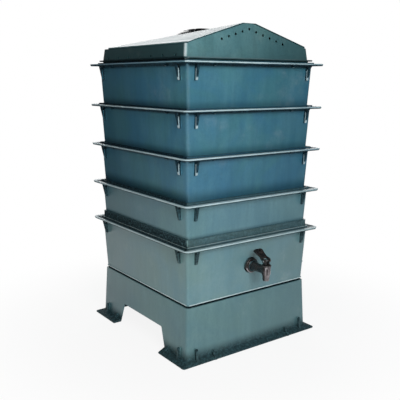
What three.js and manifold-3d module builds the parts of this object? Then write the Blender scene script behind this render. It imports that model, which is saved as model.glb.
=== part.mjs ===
// A stacking wormery: stand, collecting tray with a lever tap, four working trays and a roofed lid.
// Millimetres. +X runs along the front, -Y faces the front, +Z is up, and the floor is at Z = 0.
import * as THREE from 'three';
import { mergeVertices } from 'three/addons/utils/BufferGeometryUtils.js';
import Module from 'manifold-3d';

const wasm = await Module();
wasm.setup();

// Clearance between pieces that touch.
const gap = 0.3;

// Footprint of every rim, the lip round its edge and the curb nearer the mouth.
const rimHalfX = 203;
const rimHalfY = 222;
const rimRadius = 18;
const rimHeight = 8;
const rimLipHeight = 5;
const rimLipWall = 3;
const rimPlateThickness = 2.5;
const curb = { halfX: 189, halfY: 203, radius: 10 };

// Working trays.
const trayHalfX = 184.5;
const trayHalfY = 198.5;
const trayRadius = 8;
const trayWall = 3;
const trayFloor = 4;
const trayPitch = 101;
const trayNarrowing = 5;
const trayNest = 15.7;
const trayRims = [367, 468, 569, 670];
const stopReachX = 171.5;
const stopReachY = 185.5;
const stopWidth = 8;
const stopOffset = 100;
const drainRadius = 6;
const drainPitchX = 56;
const drainPitchY = 60;
const drainCount = 6;

// Gussets between a wall and the flange it carries.
const gussetThickness = 4.5;
const cornerGusset = { reach: 15, drop: 34 };
const middleGusset = { reach: 9, drop: 15 };
const gussetRoot = 2.2;
const gussetTail = 3;
const gussetAlong = { frontCorner: 163, frontMiddle: 115, sideCorner: 173, sideMiddle: 125 };

// Collecting tray.
const collectorRim = 268.5;
const collectorFoot = 136.3;
const collectorHalfX = 186;
const collectorHalfY = 200;
const collectorNarrowing = 6.5;
const bowlShare = 0.6;
const undersideShare = 0.4;
const collectorFloorFront = 182;
const collectorFloorBack = 190;
const collectorFloorThickness = 3.5;
const collarTop = 291;
const collarWall = 3;
const collarTabWidth = 17;
const collarTabProud = 1.3;

// Stand.
const deckTop = 136;
const deckThickness = 4;
const standTopHalfX = 182;
const standTopHalfY = 196;
const standSpread = 6;
const standWall = 3.5;
const standLip = { halfX: 175.5, halfY: 189.5, wall: 3, height: 6 };
const footHalfX = 207;
const footHalfY = 216.5;
const footEdge = 3;
const footRise = 10;
const footRadius = 5;
const arch = { halfBottom: 111, halfTop: 92, height: 56, corner: 6 };

// Lid.
const lidFoot = 681;
const lidLip = { halfX: 186.5, halfY: 200.5, radius: 10, thickness: 3 };
const lidPad = { alongFront: 140, alongSide: 120, atX: 184.3, atY: 195, length: 14, halfX: 1.8, halfY: 3 };
const lidHalfX = 182.7;
const lidHalfY = 186.7;
const lidRadius = 8;
const lidLean = 0.12;
const lidEave = 711.6;
const lidWall = 3;
const roofHalfX = 171;
const roofBack = 175;
const roofCorner = 4;
const roofTop = 761.4;
const roofBackTop = 715.2;
const ridgeHalf = 19;
const roofSlope = 0.302;
const plug = { halfX: 180.2, halfY: 190, radius: 6, innerRadius: 4, wall: 2.5, drop: 13 };
const ventRadius = 3;
const ventPitch = 20;
const ventBelowRoof = 13;
const ventsLeft = 4;
const ventsRight = 5;
const sideVentPitch = 50.5;
const sideVentLevel = 688.4;
const sideVentsPerHalf = 3;

// Grip on the roof, held by two screws from below.
const grip = {
  front: -64,
  back: 104,
  halfWidth: 13,
  top: 761,
  thickness: 6,
  footLength: 18,
  shoulder: 747.5,
  outerPull: 16,
  innerPull: 12,
};
const gripScrew = { headRadius: 5, headHeight: 3, shankRadius: 2, holeRadius: 2.4, bite: 4.5 };

// Tap, with its axis square to the front wall.
const tapLevel = 204;
const bossFace = 199.5;
const bossInnerFace = 190.5;
const bossRadius = 19;
const tapThreadRadius = 13.2;
const tapHoleRadius = 13.6;
const tapFlange = { radius: 17.7, thickness: 4 };
const tapBarrelRadius = 11;
const tapReach = 54;
const chamber = { radius: 10.5, bore: 7.5, top: 10, seat: -8 };
const spout = { bottom: -24, radius: 7.5, bore: 5 };
const inletBore = 7;
const headroomStart = 20;
const shankLength = 23;
const gasketThickness = 1.5;
const nut = { acrossFlats: 34, thickness: 9 };
const bonnet = { radius: 11.5, plate: 4.2, skirt: 4, skirtOuter: 7.1, skirtInner: 6.2 };
const ear = { inner: 3.6, thickness: 2.8, half: 4.5 };
const pivotHeight = 24;
const pivotPinRadius = 2.1;
const stem = { radius: 2.5, top: 16 };
const valveDisc = { radius: 6.6, thickness: 2.5 };
const seatThickness = 2.7;
const spring = { radius: 4.6, wire: 0.65, turns: 4 };
const lever = {
  length: 38,
  lean: 60,
  start: 8,
  tipHalf: 13,
  tipRound: 5,
  rootHalf: 9.8,
  thickness: 4,
  cheek: 2.7,
  hub: 5.2,
};
const washerRadius = 17;
const tapSides = 24;
const boreSides = 20;

// Ladder for the worms.
const ladder = { halfBottom: 84, halfTop: 55, height: 66, wall: 2.5, brim: 7, radius: 8 };
const ladderSlot = { pitch: 34, halfLength: 10, height: 8, levels: [16, 36] };
const ladderHole = { pitch: 30, radius: 6 };

// The front wall leans in all the way up to the ridge, and the ridge then falls to the back.
const ridgeFront = -(lidHalfY - lidLean * (roofTop - lidFoot));
const ridgeFall = (roofTop - roofBackTop) / (roofBack - ridgeFront);

// Whole object: the origin is the middle of its floor outline, tap included.
const frontReach = bossFace + tapReach + bonnet.radius;
const stackShift = (frontReach - rimHalfY) / 2;

const quarter = Math.PI / 2;
const half = Math.PI;
const farAway = 400;
const roundSides = 16;

const trayGreen = { color: 0x3f6f7c, roughness: 0.45, metalness: 0 };
const tapBlack = { color: 0x17181a, roughness: 0.3, metalness: 0 };
const rubberGrey = { color: 0x2a2a2a, roughness: 0.9, metalness: 0 };
const steel = { color: 0xb9bcc0, roughness: 0.3, metalness: 1 };

// A closed solid from a geometry: shared corners are merged and empty triangles dropped.
function solid(geometry) {
  const bare = geometry.clone();
  bare.deleteAttribute('normal');
  bare.deleteAttribute('uv');
  const merged = mergeVertices(bare);
  const corners = merged.index.array;
  const kept = [];
  for (let i = 0; i < corners.length; i += 3) {
    const [a, b, c] = [corners[i], corners[i + 1], corners[i + 2]];
    if (a !== b && b !== c && c !== a) {
      kept.push(a, b, c);
    }
  }
  return new wasm.Manifold(new wasm.Mesh({
    numProp: 3,
    vertProperties: new Float32Array(merged.attributes.position.array),
    triVerts: new Uint32Array(kept),
  }));
}

function join(solids) {
  return solids.reduce((sum, next) => sum.add(next));
}

function named(name, shape, look) {
  const made = shape.getMesh();
  const geometry = new THREE.BufferGeometry();
  geometry.setAttribute('position', new THREE.BufferAttribute(made.vertProperties, 3));
  geometry.setIndex(new THREE.BufferAttribute(made.triVerts, 1));
  geometry.computeVertexNormals();
  const mesh = new THREE.Mesh(geometry, new THREE.MeshStandardMaterial(look));
  mesh.name = name;
  return mesh;
}

// A rectangle with rounded corners, centred on the origin.
function roundedOutline(halfX, halfY, radius) {
  const outline = new THREE.Shape();
  outline.absarc(halfX - radius, radius - halfY, radius, -quarter, 0);
  outline.absarc(halfX - radius, halfY - radius, radius, 0, quarter);
  outline.absarc(radius - halfX, halfY - radius, radius, quarter, half);
  outline.absarc(radius - halfX, radius - halfY, radius, half, half + quarter);
  return outline;
}

// A block with rounded corners. Its sides move out by growX and growY from bottom to top.
function block({ halfX, halfY, radius, bottom, top, growX = 0, growY = growX, arcSteps = 1 }) {
  const geometry = new THREE.ExtrudeGeometry(roundedOutline(halfX, halfY, radius), {
    depth: top - bottom,
    bevelEnabled: false,
    curveSegments: arcSteps,
  });
  const points = geometry.attributes.position;
  for (let i = 0; i < points.count; i += 1) {
    const share = points.getZ(i) / (top - bottom);
    points.setX(i, points.getX(i) + Math.sign(points.getX(i)) * growX * share);
    points.setY(i, points.getY(i) + Math.sign(points.getY(i)) * growY * share);
    points.setZ(i, points.getZ(i) + bottom);
  }
  return solid(geometry);
}

// A plain box from its lowest and highest corners.
function box(low, high) {
  const size = high.map((value, i) => value - low[i]);
  const geometry = new THREE.BoxGeometry(...size);
  geometry.translate(...low.map((value, i) => value + size[i] / 2));
  return solid(geometry);
}

// A cylinder or cone along Z.
function upright(bottomRadius, topRadius, bottom, top, sides = roundSides) {
  const geometry = new THREE.CylinderGeometry(topRadius, bottomRadius, top - bottom, sides);
  geometry.rotateX(quarter);
  geometry.translate(0, 0, (top + bottom) / 2);
  return solid(geometry);
}

// A cylinder along Y, from one Y to another.
function level(radius, from, to, sides = roundSides) {
  const geometry = new THREE.CylinderGeometry(radius, radius, to - from, sides);
  geometry.translate(0, (to + from) / 2, 0);
  return solid(geometry);
}

// A cylinder along X, through both sides of the middle.
function across(radius, halfLength, sides = roundSides) {
  const geometry = new THREE.CylinderGeometry(radius, radius, 2 * halfLength, sides);
  geometry.rotateZ(quarter);
  return solid(geometry);
}

// An outline drawn in the YZ plane, as thick as twice halfWidth along X.
function sidePlate(outline, halfWidth, arcSteps) {
  const geometry = new THREE.ExtrudeGeometry(outline, {
    depth: 2 * halfWidth,
    bevelEnabled: false,
    curveSegments: arcSteps,
  });
  geometry.translate(0, 0, -halfWidth);
  geometry.rotateY(quarter);
  geometry.rotateX(quarter);
  return solid(geometry);
}

// A gusset that stands out of a wall along +X. It hangs from a flange (side -1) or rises from one (+1).
function gusset({ reach, drop }, side, overlap) {
  const outline = new THREE.Shape();
  outline.moveTo(-gussetRoot, -side * overlap);
  outline.lineTo(reach, -side * overlap);
  outline.lineTo(reach, side);
  outline.quadraticCurveTo(reach / 4, side * drop / 5, gussetTail, side * drop);
  outline.lineTo(-gussetRoot, side * drop);
  const geometry = new THREE.ExtrudeGeometry(outline, {
    depth: gussetThickness,
    bevelEnabled: false,
    curveSegments: 3,
  });
  geometry.translate(0, 0, -gussetThickness / 2);
  geometry.rotateX(quarter);
  return solid(geometry);
}

// Two gussets near each corner and two nearer the middle, on all four walls.
function gussetRing(wallX, wallY, height, side, overlap) {
  const ribs = [];
  const sizes = [
    [cornerGusset, gussetAlong.frontCorner, gussetAlong.sideCorner],
    [middleGusset, gussetAlong.frontMiddle, gussetAlong.sideMiddle],
  ];
  for (const [size, alongFront, alongSide] of sizes) {
    const rib = gusset(size, side, overlap);
    for (const wall of [-1, 1]) {
      for (const end of [-1, 1]) {
        const faceTurn = wall > 0 ? 0 : 180;
        ribs.push(rib.rotate([0, 0, faceTurn]).translate([wall * wallX, end * alongSide, height]));
        ribs.push(rib.rotate([0, 0, wall * 90]).translate([end * alongFront, wall * wallY, height]));
      }
    }
  }
  return join(ribs);
}

// A stepped rim: a flat plate with a lip hanging from its edge and a raised curb round the mouth.
function rimPlate(height) {
  const lip = block({
    halfX: rimHalfX, halfY: rimHalfY, radius: rimRadius, bottom: height, top: height + rimLipHeight,
    arcSteps: 2,
  });
  const curbBlock = block({ ...curb, bottom: height + 1, top: height + rimHeight, arcSteps: 2 });
  const hollow = block({
    halfX: rimHalfX - rimLipWall, halfY: rimHalfY - rimLipWall, radius: rimRadius - rimLipWall,
    bottom: height - 1, top: height + rimLipHeight - rimPlateThickness, arcSteps: 2,
  });
  return lip.add(curbBlock).subtract(hollow);
}

// Upright ribs inside a tray on which the tray above comes to rest.
function stops(bottom, top) {
  const ribs = [];
  for (const wall of [-1, 1]) {
    for (const end of [-1, 1]) {
      const alongSide = end * stopOffset;
      ribs.push(box(
        [Math.min(wall * stopReachX, wall * rimHalfX), alongSide - stopWidth / 2, bottom],
        [Math.max(wall * stopReachX, wall * rimHalfX), alongSide + stopWidth / 2, top],
      ));
      ribs.push(box(
        [alongSide - stopWidth / 2, Math.min(wall * stopReachY, wall * rimHalfY), bottom],
        [alongSide + stopWidth / 2, Math.max(wall * stopReachY, wall * rimHalfY), top],
      ));
    }
  }
  return join(ribs);
}

// A hollow with the tray wall's slope, from one height to another, for a tray whose rim is at rim.
function trayHollow(rim, bottom, top) {
  const perMillimetre = trayNarrowing / trayPitch;
  return block({
    halfX: trayHalfX - trayWall + (bottom - rim) * perMillimetre,
    halfY: trayHalfY - trayWall + (bottom - rim) * perMillimetre,
    radius: trayRadius - trayWall,
    bottom,
    top,
    growX: (top - bottom) * perMillimetre,
  });
}

function drainHoles(floorLevel) {
  const holes = [];
  const middle = (drainCount - 1) / 2;
  for (let i = 0; i < drainCount; i += 1) {
    for (let j = 0; j < drainCount; j += 1) {
      const hole = upright(drainRadius, drainRadius, floorLevel - 1, floorLevel + trayFloor + 1, 6);
      holes.push(hole.translate([(i - middle) * drainPitchX, (j - middle) * drainPitchY, 0]));
    }
  }
  return join(holes);
}

function workingTray(rim) {
  const foot = rim - trayPitch + rimHeight - trayNest;
  const perMillimetre = trayNarrowing / trayPitch;
  const shell = block({
    halfX: trayHalfX + (foot - rim) * perMillimetre,
    halfY: trayHalfY + (foot - rim) * perMillimetre,
    radius: trayRadius,
    bottom: foot,
    top: rim + rimLipHeight + 1,
    growX: (rim + rimLipHeight + 1 - foot) * perMillimetre,
  });
  const stopTop = rim + rimHeight - trayNest - gap;
  const hollow = trayHollow(rim, foot + trayFloor, rim + rimHeight + 1);
  return shell
    .add(rimPlate(rim))
    .add(gussetRing(trayHalfX, trayHalfY, rim, -1, rimLipHeight - 1))
    .subtract(hollow.subtract(stops(foot, stopTop)))
    .subtract(drainHoles(foot));
}

// A slab that follows the collector's sloping floor, with its top that far above the floor.
function slopingSlab(above) {
  const run = collectorHalfY + collectorHalfY;
  const geometry = new THREE.BoxGeometry(farAway * 2, farAway * 2, farAway);
  geometry.translate(0, 0, -farAway / 2);
  geometry.rotateX(Math.atan2(collectorFloorBack - collectorFloorFront, run));
  geometry.translate(0, 0, (collectorFloorFront + collectorFloorBack) / 2 + above);
  return solid(geometry);
}

function collarTabs() {
  const tabs = [];
  const reachX = trayHalfX + collarTabProud;
  const reachY = trayHalfY + collarTabProud;
  const bottom = collectorRim + rimHeight - 1;
  const top = collarTop - 1;
  for (const end of [-1, 1]) {
    const x = end * gussetAlong.frontCorner;
    const y = end * gussetAlong.sideCorner;
    tabs.push(box([x - collarTabWidth / 2, -reachY, bottom], [x + collarTabWidth / 2, reachY, top]));
    tabs.push(box([-reachX, y - collarTabWidth / 2, bottom], [reachX, y + collarTabWidth / 2, top]));
  }
  return join(tabs);
}

function collectorTray() {
  const walls = block({
    halfX: collectorHalfX - collectorNarrowing, halfY: collectorHalfY - collectorNarrowing,
    radius: trayRadius, bottom: collectorFoot, top: collectorRim + 1, growX: collectorNarrowing,
  });
  const collar = block({
    halfX: trayHalfX, halfY: trayHalfY, radius: trayRadius,
    bottom: collectorRim, top: collarTop,
  });
  const mouthHalfX = trayHalfX - collarWall;
  const mouthHalfY = trayHalfY - collarWall;
  const bowlDepth = collarTop + 1 - collectorFloorFront;
  const bowlNarrowing = collectorNarrowing * bowlShare;
  const bowl = block({
    halfX: mouthHalfX - bowlNarrowing, halfY: mouthHalfY - bowlNarrowing,
    radius: trayRadius - trayWall,
    bottom: collarTop + 1 - bowlDepth, top: collarTop + 1, growX: bowlNarrowing,
  });
  const stopTop = trayRims[0] - trayPitch + rimHeight - trayNest - gap;
  const underHalfX = collectorHalfX - collectorNarrowing - trayWall;
  const underHalfY = collectorHalfY - collectorNarrowing - trayWall;
  const underside = block({
    halfX: underHalfX, halfY: underHalfY, radius: trayRadius - trayWall,
    bottom: collectorFoot - 1, top: collectorFloorBack, growX: collectorNarrowing * undersideShare,
  });
  const boss = level(bossRadius, -bossFace, -bossInnerFace, tapSides).translate([0, 0, tapLevel]);
  const tapHole = level(tapHoleRadius, -bossFace - 5, -bossInnerFace + 5, tapSides)
    .translate([0, 0, tapLevel]);
  return walls
    .add(rimPlate(collectorRim))
    .add(collar)
    .add(collarTabs())
    .add(gussetRing(collectorHalfX, collectorHalfY, collectorRim, -1, rimLipHeight - 1))
    .subtract(bowl.subtract(slopingSlab(0)).subtract(stops(collectorFoot, stopTop)))
    .subtract(underside.intersect(slopingSlab(-collectorFloorThickness)))
    .add(boss)
    .subtract(tapHole);
}

// The arch through both side walls of the stand.
function archOutline() {
  const outline = new THREE.Shape();
  outline.moveTo(-arch.halfBottom, -1);
  outline.lineTo(arch.halfBottom, -1);
  outline.lineTo(arch.halfTop, arch.height - arch.corner);
  outline.quadraticCurveTo(arch.halfTop, arch.height, arch.halfTop - arch.corner, arch.height);
  outline.lineTo(arch.corner - arch.halfTop, arch.height);
  outline.quadraticCurveTo(-arch.halfTop, arch.height, -arch.halfTop, arch.height - arch.corner);
  return outline;
}

function baseStand() {
  const footX = standTopHalfX + standSpread;
  const footY = standTopHalfY + standSpread;
  const walls = block({
    halfX: footX, halfY: footY, radius: trayRadius, bottom: 0, top: deckTop, growX: -standSpread,
  });
  const flangeEdge = block({
    halfX: footHalfX, halfY: footHalfY, radius: footRadius, bottom: 0, top: footEdge,
  });
  const flangeRise = block({
    halfX: footHalfX, halfY: footHalfY, radius: footRadius, bottom: footEdge - 0.5, top: footRise,
    growX: footX - footHalfX, growY: footY - footHalfY,
  });
  const hollow = block({
    halfX: footX - standWall, halfY: footY - standWall, radius: trayRadius - standWall,
    bottom: -1, top: deckTop - deckThickness, growX: -standSpread,
  });
  const lipOuter = block({
    halfX: standLip.halfX, halfY: standLip.halfY, radius: trayRadius,
    bottom: deckTop - 1, top: deckTop + standLip.height,
  });
  const lipInner = block({
    halfX: standLip.halfX - standLip.wall, halfY: standLip.halfY - standLip.wall,
    radius: trayRadius - standLip.wall, bottom: deckTop, top: deckTop + standLip.height + 1,
  });
  return walls
    .add(flangeEdge)
    .add(flangeRise)
    .add(gussetRing(footX, footY, 0, 1, 0))
    .subtract(hollow)
    .subtract(sidePlate(archOutline(), farAway, 2))
    .add(lipOuter.subtract(lipInner));
}

// Height of the roof's middle slope at a given Y.
function ridgeHeight(y) {
  return roofTop - (y - ridgeFront) * ridgeFall;
}

// The lid's four leaning walls as a block, taken in by inset all round.
function lidBlock(inset, bottom, top) {
  return block({
    halfX: lidHalfX - inset - lidLean * (bottom - lidFoot),
    halfY: lidHalfY - inset - lidLean * (bottom - lidFoot),
    radius: lidRadius - inset,
    bottom,
    top,
    growX: -lidLean * (top - bottom),
  });
}

// The roof's left, right and middle slopes, flush with the front wall and stepped in elsewhere.
function roofBlock(inset, bottom) {
  const top = roofTop + 1;
  const halfLength = lidHalfY;
  const slab = block({ halfX: roofHalfX - inset, halfY: halfLength, radius: roofCorner, bottom, top })
    .translate([0, roofBack - inset - halfLength, 0]);
  const above = (turnX, turnY, z) => {
    const geometry = new THREE.BoxGeometry(farAway * 4, farAway * 4, farAway);
    geometry.translate(0, 0, farAway / 2);
    geometry.rotateX(turnX);
    geometry.rotateY(turnY);
    geometry.translate(0, 0, z - inset);
    return solid(geometry);
  };
  const pitch = Math.atan(roofSlope);
  const sideTop = roofTop + ridgeHalf * roofSlope;
  return slab
    .intersect(lidBlock(inset, bottom - 1, top + 1))
    .subtract(above(0, pitch, sideTop))
    .subtract(above(0, -pitch, sideTop))
    .subtract(above(-Math.atan(ridgeFall), 0, ridgeHeight(0)));
}

function lidVents() {
  const holes = [];
  for (let i = -ventsLeft; i <= ventsRight; i += 1) {
    const hole = level(ventRadius, -lidHalfY - 5, ridgeFront + 10, 8);
    const height = roofTop - ventBelowRoof - Math.abs(i) * ventPitch * roofSlope;
    holes.push(hole.translate([i * ventPitch, 0, height]));
  }
  for (let i = -sideVentsPerHalf; i <= sideVentsPerHalf; i += 1) {
    const hole = across(ventRadius, rimHalfX, 8);
    holes.push(hole.translate([0, i * sideVentPitch, sideVentLevel]));
    const rear = level(ventRadius, lidHalfY - lidWall - 5, lidHalfY + 5, 8);
    holes.push(rear.translate([i * sideVentPitch, 0, sideVentLevel]));
  }
  return join(holes);
}

// The middle slope's own frame at a given Y: local Z is square to the roof.
function onRoof(shape, y) {
  const tilt = THREE.MathUtils.radToDeg(Math.atan(ridgeFall));
  return shape.rotate([-tilt, 0, 0]).translate([0, y, ridgeHeight(y)]);
}

const gripScrewPlaces = [grip.front + grip.footLength / 2, grip.back - grip.footLength / 2];

function lid() {
  const lip = block({
    halfX: lidLip.halfX, halfY: lidLip.halfY, radius: lidLip.radius,
    bottom: lidFoot, top: lidFoot + lidLip.thickness,
  });
  const plugOuter = block({
    halfX: plug.halfX, halfY: plug.halfY, radius: plug.radius,
    bottom: lidFoot - plug.drop, top: lidFoot + 1,
  });
  const plugInner = block({
    halfX: plug.halfX - plug.wall, halfY: plug.halfY - plug.wall, radius: plug.innerRadius,
    bottom: lidFoot - plug.drop - 1, top: lidFoot,
  });
  const underShelf = lidEave - lidWall;
  const hollow = lidBlock(lidWall, lidFoot - 1, underShelf).intersect(block({
    halfX: plug.halfX - plug.wall, halfY: lidHalfY, radius: plug.innerRadius,
    bottom: lidFoot - 2, top: lidEave,
  }));
  const screwHole = upright(gripScrew.holeRadius, gripScrew.holeRadius, -8, 4, 8);
  const screwHoles = gripScrewPlaces.map((y) => onRoof(screwHole, y));
  return lidBlock(0, lidFoot, lidEave)
    .add(lip)
    .add(plugOuter.subtract(plugInner))
    .add(lidPads())
    .add(roofBlock(0, underShelf))
    .subtract(hollow)
    .subtract(roofBlock(lidWall, underShelf - lidWall))
    .subtract(lidVents())
    .subtract(join(screwHoles));
}

// Small feet that hold the lid's lip just above the top tray's rim.
function lidPads() {
  const bottom = trayRims[3] + rimHeight + gap;
  const top = lidFoot + 1;
  const pads = [];
  for (const x of [-1, 1]) {
    for (const y of [-1, 1]) {
      const frontX = x * lidPad.alongFront;
      const frontY = y * lidPad.atY;
      const sideX = x * lidPad.atX;
      const sideY = y * lidPad.alongSide;
      pads.push(box(
        [frontX - lidPad.length / 2, frontY - lidPad.halfY, bottom],
        [frontX + lidPad.length / 2, frontY + lidPad.halfY, top],
      ));
      pads.push(box(
        [sideX - lidPad.halfX, sideY - lidPad.length / 2, bottom],
        [sideX + lidPad.halfX, sideY + lidPad.length / 2, top],
      ));
    }
  }
  return join(pads);
}

function lidHandle() {
  const middle = (grip.front + grip.back) / 2;
  const underTop = grip.top - grip.thickness;
  const innerFront = grip.front + grip.footLength;
  const innerBack = grip.back - grip.footLength;
  const underShoulder = grip.shoulder + 1;
  const low = roofTop - 60;
  const outline = new THREE.Shape();
  outline.moveTo(grip.front, low);
  outline.lineTo(grip.front, grip.shoulder);
  outline.quadraticCurveTo(grip.front + grip.outerPull, grip.top, middle, grip.top);
  outline.quadraticCurveTo(grip.back - grip.outerPull, grip.top, grip.back, grip.shoulder);
  outline.lineTo(grip.back, low);
  outline.lineTo(innerBack, low);
  outline.lineTo(innerBack, underShoulder);
  outline.quadraticCurveTo(innerBack - grip.innerPull, underTop, middle, underTop);
  outline.quadraticCurveTo(innerFront + grip.innerPull, underTop, innerFront, underShoulder);
  outline.lineTo(innerFront, low);
  const roofPlane = new THREE.BoxGeometry(farAway, farAway, farAway);
  roofPlane.translate(0, 0, gap - farAway / 2);
  const hole = upright(gripScrew.holeRadius, gripScrew.holeRadius, -4, gripScrew.bite + 0.5, 8);
  const holes = gripScrewPlaces.map((y) => onRoof(hole, y));
  return sidePlate(outline, grip.halfWidth, 5)
    .subtract(onRoof(solid(roofPlane), middle))
    .subtract(join(holes));
}

function lidScrew(y) {
  const headTop = -lidWall * Math.cos(Math.atan(ridgeFall)) - gap;
  const head = upright(
    gripScrew.headRadius * 0.8, gripScrew.headRadius,
    headTop - gripScrew.headHeight, headTop, 12,
  );
  const shank = upright(gripScrew.shankRadius, gripScrew.shankRadius, headTop - 1, gripScrew.bite, 8);
  return onRoof(head.add(shank), y);
}

// The tap's pieces are drawn with the wall's outer face at Y = 0 and the tap's axis at Z = 0.
const flangeBack = -(gap + gasketThickness + gap);
const flangeFront = flangeBack - tapFlange.thickness;

function tapBody() {
  const outside = join([
    level(tapThreadRadius, flangeBack - 1, shankLength, boreSides),
    level(tapFlange.radius, flangeFront, flangeBack, tapSides),
    level(tapBarrelRadius, -tapReach, flangeFront + 1, boreSides),
    upright(chamber.radius, chamber.radius, chamber.seat - 1, chamber.top, boreSides)
      .translate([0, -tapReach, 0]),
    upright(spout.radius, chamber.radius, spout.bottom, chamber.seat, boreSides)
      .translate([0, -tapReach, 0]),
  ]);
  const headroom = box(
    [-farAway, -farAway, chamber.top],
    [farAway, flangeFront - headroomStart, farAway],
  );
  return outside
    .subtract(headroom)
    .subtract(level(inletBore, -tapReach, shankLength + 1))
    .subtract(upright(chamber.bore, chamber.bore, chamber.seat, chamber.top + 5, boreSides)
      .translate([0, -tapReach, 0]))
    .subtract(upright(spout.bore, spout.bore, spout.bottom - 1, chamber.seat + 1)
      .translate([0, -tapReach, 0]));
}

function ringAlongY(inner, outer, from, to) {
  return level(outer, from, to, tapSides).subtract(level(inner, from - 1, to + 1, tapSides));
}

const innerFaceY = bossFace - bossInnerFace;
const washerEnd = innerFaceY + gap + gasketThickness;

function backNut() {
  const start = washerEnd + gap;
  const hexagon = level(nut.acrossFlats / Math.sqrt(3), start, start + nut.thickness, 6);
  return hexagon.subtract(level(tapHoleRadius, start - 1, start + nut.thickness + 1, boreSides));
}

function tapBonnet() {
  const plateBottom = chamber.top + gap;
  const plateTop = plateBottom + bonnet.plate;
  const earTop = pivotHeight + ear.half;
  const ears = [-1, 1].map((side) => {
    const near = side * ear.inner;
    const far = side * (ear.inner + ear.thickness);
    return box(
      [Math.min(near, far), -ear.half, plateTop - 1],
      [Math.max(near, far), ear.half, earTop],
    );
  });
  const skirtBottom = plateBottom - bonnet.skirt;
  return upright(bonnet.radius, bonnet.radius, plateBottom, plateTop, boreSides)
    .add(upright(bonnet.skirtOuter, bonnet.skirtOuter, skirtBottom, plateBottom + 1, boreSides))
    .add(join(ears))
    .subtract(upright(bonnet.skirtInner, bonnet.skirtInner, skirtBottom - 1, plateBottom))
    .subtract(upright(stem.radius + gap, stem.radius + gap, 0, plateTop + 1, 12))
    .subtract(across(pivotPinRadius + gap, 20, 12).translate([0, 0, pivotHeight]));
}

const seatBottom = chamber.seat + gap;
const discBottom = seatBottom + seatThickness + gap;
const discTop = discBottom + valveDisc.thickness;

function tapPlunger() {
  return upright(valveDisc.radius, valveDisc.radius, discBottom, discTop, boreSides)
    .add(upright(stem.radius, stem.radius, discTop - 1, stem.top, 12));
}

function tapSeat() {
  return upright(valveDisc.radius, valveDisc.radius, seatBottom, discBottom - gap, boreSides);
}

class Helix extends THREE.Curve {
  constructor(radius, bottom, top, turns) {
    super();
    this.radius = radius;
    this.bottom = bottom;
    this.top = top;
    this.turns = turns;
  }

  getPoint(t, target = new THREE.Vector3()) {
    const angle = 2 * half * this.turns * t;
    return target.set(
      this.radius * Math.cos(angle),
      this.radius * Math.sin(angle),
      this.bottom + (this.top - this.bottom) * t,
    );
  }
}

function tapSpring() {
  const wire = new THREE.Shape();
  wire.absarc(0, 0, spring.wire, 0, 2 * half);
  const bottom = discTop + gap + spring.wire;
  const top = chamber.top - spring.wire;
  const geometry = new THREE.ExtrudeGeometry(
    new THREE.Shape(wire.getPoints(3).slice(0, -1)),
    { steps: spring.turns * 8, extrudePath: new Helix(spring.radius, bottom, top, spring.turns) },
  );
  return solid(geometry);
}

// The lever is drawn upright about its pin and then leaned back towards the wall.
function tapLever() {
  const blade = new THREE.Shape();
  const shoulder = lever.length - lever.tipRound;
  const flat = lever.tipHalf - lever.tipRound;
  blade.moveTo(-lever.rootHalf, lever.start);
  blade.lineTo(lever.rootHalf, lever.start);
  blade.lineTo(lever.tipHalf, shoulder);
  blade.quadraticCurveTo(lever.tipHalf, lever.length, flat, lever.length);
  blade.lineTo(-flat, lever.length);
  blade.quadraticCurveTo(-lever.tipHalf, lever.length, -lever.tipHalf, shoulder);
  const bladeGeometry = new THREE.ExtrudeGeometry(blade, {
    depth: lever.thickness,
    bevelEnabled: false,
    curveSegments: 3,
  });
  bladeGeometry.translate(0, 0, -lever.thickness / 2);
  bladeGeometry.rotateX(quarter);
  const cheekInner = lever.rootHalf - lever.cheek;
  const cheeks = join([-1, 1].map((side) => {
    const near = side * cheekInner;
    const far = side * lever.rootHalf;
    const arm = box(
      [Math.min(near, far), -lever.hub * 0.8, 0],
      [Math.max(near, far), lever.hub * 0.8, lever.start * 2],
    );
    const hub = across(lever.hub, lever.cheek / 2, 14).translate([(near + far) / 2, 0, 0]);
    return arm.add(hub);
  }));
  return solid(bladeGeometry)
    .add(cheeks)
    .subtract(across(pivotPinRadius + gap, 20, 12))
    .rotate([-lever.lean, 0, 0])
    .translate([0, 0, pivotHeight]);
}

// A hollow hump with slots in its sides and holes in its top, standing on the collector's floor.
function wormLadder() {
  const outer = block({
    halfX: ladder.halfBottom, halfY: ladder.halfBottom, radius: ladder.radius,
    bottom: 0, top: ladder.height, growX: ladder.halfTop - ladder.halfBottom,
  });
  const brim = block({
    halfX: ladder.halfBottom + ladder.brim, halfY: ladder.halfBottom + ladder.brim,
    radius: ladder.radius + ladder.wall, bottom: 0, top: ladder.wall,
  });
  const inner = block({
    halfX: ladder.halfBottom - ladder.wall, halfY: ladder.halfBottom - ladder.wall,
    radius: ladder.radius - ladder.wall, bottom: -1, top: ladder.height - ladder.wall,
    growX: ladder.halfTop - ladder.halfBottom,
  });
  const cuts = [];
  const hole = upright(ladderHole.radius, ladderHole.radius, ladder.height - 10, ladder.height + 1, 6);
  for (const step of [-1, 0, 1]) {
    const start = step * ladderSlot.pitch - ladderSlot.halfLength;
    const end = step * ladderSlot.pitch + ladderSlot.halfLength;
    for (const z of ladderSlot.levels) {
      cuts.push(box([start, -farAway, z], [end, farAway, z + ladderSlot.height]));
      cuts.push(box([-farAway, start, z], [farAway, end, z + ladderSlot.height]));
    }
    for (const other of [-1, 0, 1]) {
      cuts.push(hole.translate([step * ladderHole.pitch, other * ladderHole.pitch, 0]));
    }
  }
  return outer.add(brim).subtract(inner).subtract(join(cuts));
}

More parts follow.
